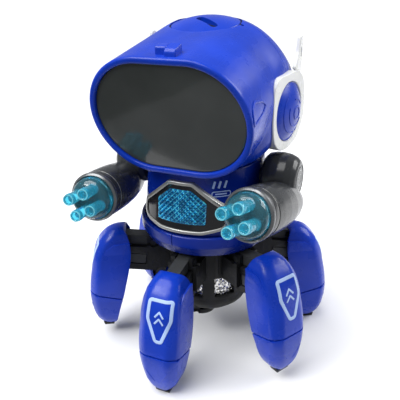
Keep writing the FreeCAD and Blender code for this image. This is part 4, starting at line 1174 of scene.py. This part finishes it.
# Cloths on the floor in front of the robot, so that it reflects something darker than the floor there:
# name, tone and corners, in metres. The camera doesn't see them and they cast no shadow.
CARDS = [("front_cloth", 0.2, [(-0.11, -0.15, 0.002), (0.16, -0.04, 0.002), (1.5, 0.1, 0.002),
                               (1.5, -2.0, 0.002), (-1.5, -2.0, 0.002), (-1.5, -0.15, 0.002)]),
         ("left_cloth", 0.03, [(-0.24, -0.105, 0.004), (-0.181, -0.195, 0.004), (-0.12, -0.286, 0.004),
                               (0.08, -0.584, 0.004), (-0.8, -1.6, 0.004), (-1.4, -0.3, 0.004)])]


# Soft lamps: name, place, target, width in metres and power.
LAMPS = [("softbox", (-0.55, -0.75, 0.85), (0, 0, 0.12), 0.4, 4.0),
         ("rim", (0.75, 0.55, 0.75), (0, 0, 0.12), 0.8, 8.0)]


def sheet(name, corners, tree):
    """A flat sheet in one material."""
    mesh = bpy.data.meshes.new(name)
    mesh.from_pydata(corners, [], [tuple(range(len(corners)))])
    mesh.materials.append(tree.material)
    return linked(name, mesh)


def stage():
    paper = Nodes("floor_paper")
    paper.coloured(paper.mottled(paper.noise(6.0, 3.0), (0.80, 0.80, 0.805), (0.84, 0.84, 0.84)))
    paper.shader.inputs["Roughness"].default_value = 0.55
    floor = sheet("floor", [(-4, -4, 0), (4, -4, 0), (4, 4, 0), (-4, 4, 0)], paper)

    for name, tone, corners in CARDS:
        cloth = Nodes(name)
        dark, light = (0.8 * tone, 0.8 * tone, 0.82 * tone), (1.2 * tone, 1.2 * tone, 1.22 * tone)
        cloth.coloured(cloth.blend(cloth.noise(300, 2.0), "Fac", dark, light))
        cloth.shader.inputs["Roughness"].default_value = 0.9
        card = sheet(name, corners, cloth)
        card.visible_camera = False
        card.visible_shadow = False

    world = bpy.data.worlds.new("studio")
    bpy.context.scene.world = world
    world.use_nodes = True
    background = world.node_tree.nodes["Background"]
    background.inputs["Color"].default_value = (0.92, 0.95, 1.0, 1.0)
    background.inputs["Strength"].default_value = 0.38
    sun = bpy.data.lights.new("overhead", "SUN")
    sun.energy, sun.angle = 3.7, math.radians(52)
    place_lamp("overhead", sun, (-0.30, -0.30, 1.0), (0, 0, 0))
    for name, spot, target, width, power in LAMPS:
        light = bpy.data.lights.new(name, "AREA")
        light.shape = "RECTANGLE"
        light.size, light.size_y = width, width * 0.6
        light.energy = power
        place_lamp(name, light, spot, target)
    bpy.context.scene.view_settings.view_transform = "Standard"


def place_lamp(name, light, spot, target):
    lamp = linked(name, light)
    lamp.location = spot
    lamp.rotation_euler = (Vector(target) - Vector(spot)).to_track_quat("-Z", "Y").to_euler()


CAMERA_SPOT = (0.1217, -0.2792, 0.2356)
CAMERA_AZIMUTH, CAMERA_ELEVATION, CAMERA_ROLL = (math.radians(angle) for angle in (24.46, 24.93, -1.52))


def camera():
    sine, cosine, flat = math.sin(CAMERA_AZIMUTH), math.cos(CAMERA_AZIMUTH), math.cos(CAMERA_ELEVATION)
    back = Vector((sine * flat, -cosine * flat, math.sin(CAMERA_ELEVATION)))
    right = Vector((cosine, sine, 0.0))
    up = back.cross(right)
    tilted_right = right * math.cos(CAMERA_ROLL) + up * math.sin(CAMERA_ROLL)
    tilted_up = up * math.cos(CAMERA_ROLL) - right * math.sin(CAMERA_ROLL)
    lens = bpy.data.cameras.new("camera")
    lens.lens, lens.sensor_width = 47.65, 36.0
    lens.clip_start = 0.01
    eye = linked("camera", lens)
    eye.matrix_world = Matrix((tilted_right, tilted_up, back)).transposed().to_4x4()
    eye.matrix_world.translation = CAMERA_SPOT
    bpy.context.scene.camera = eye


dress_cad_nodes()
helmet()
visor()
crown_cap()
brow_knob()
ears()
torso()
chest()
arms()
legs()
foil_ring()
drum_ribs()
arm_inlays()
stage()
camera()
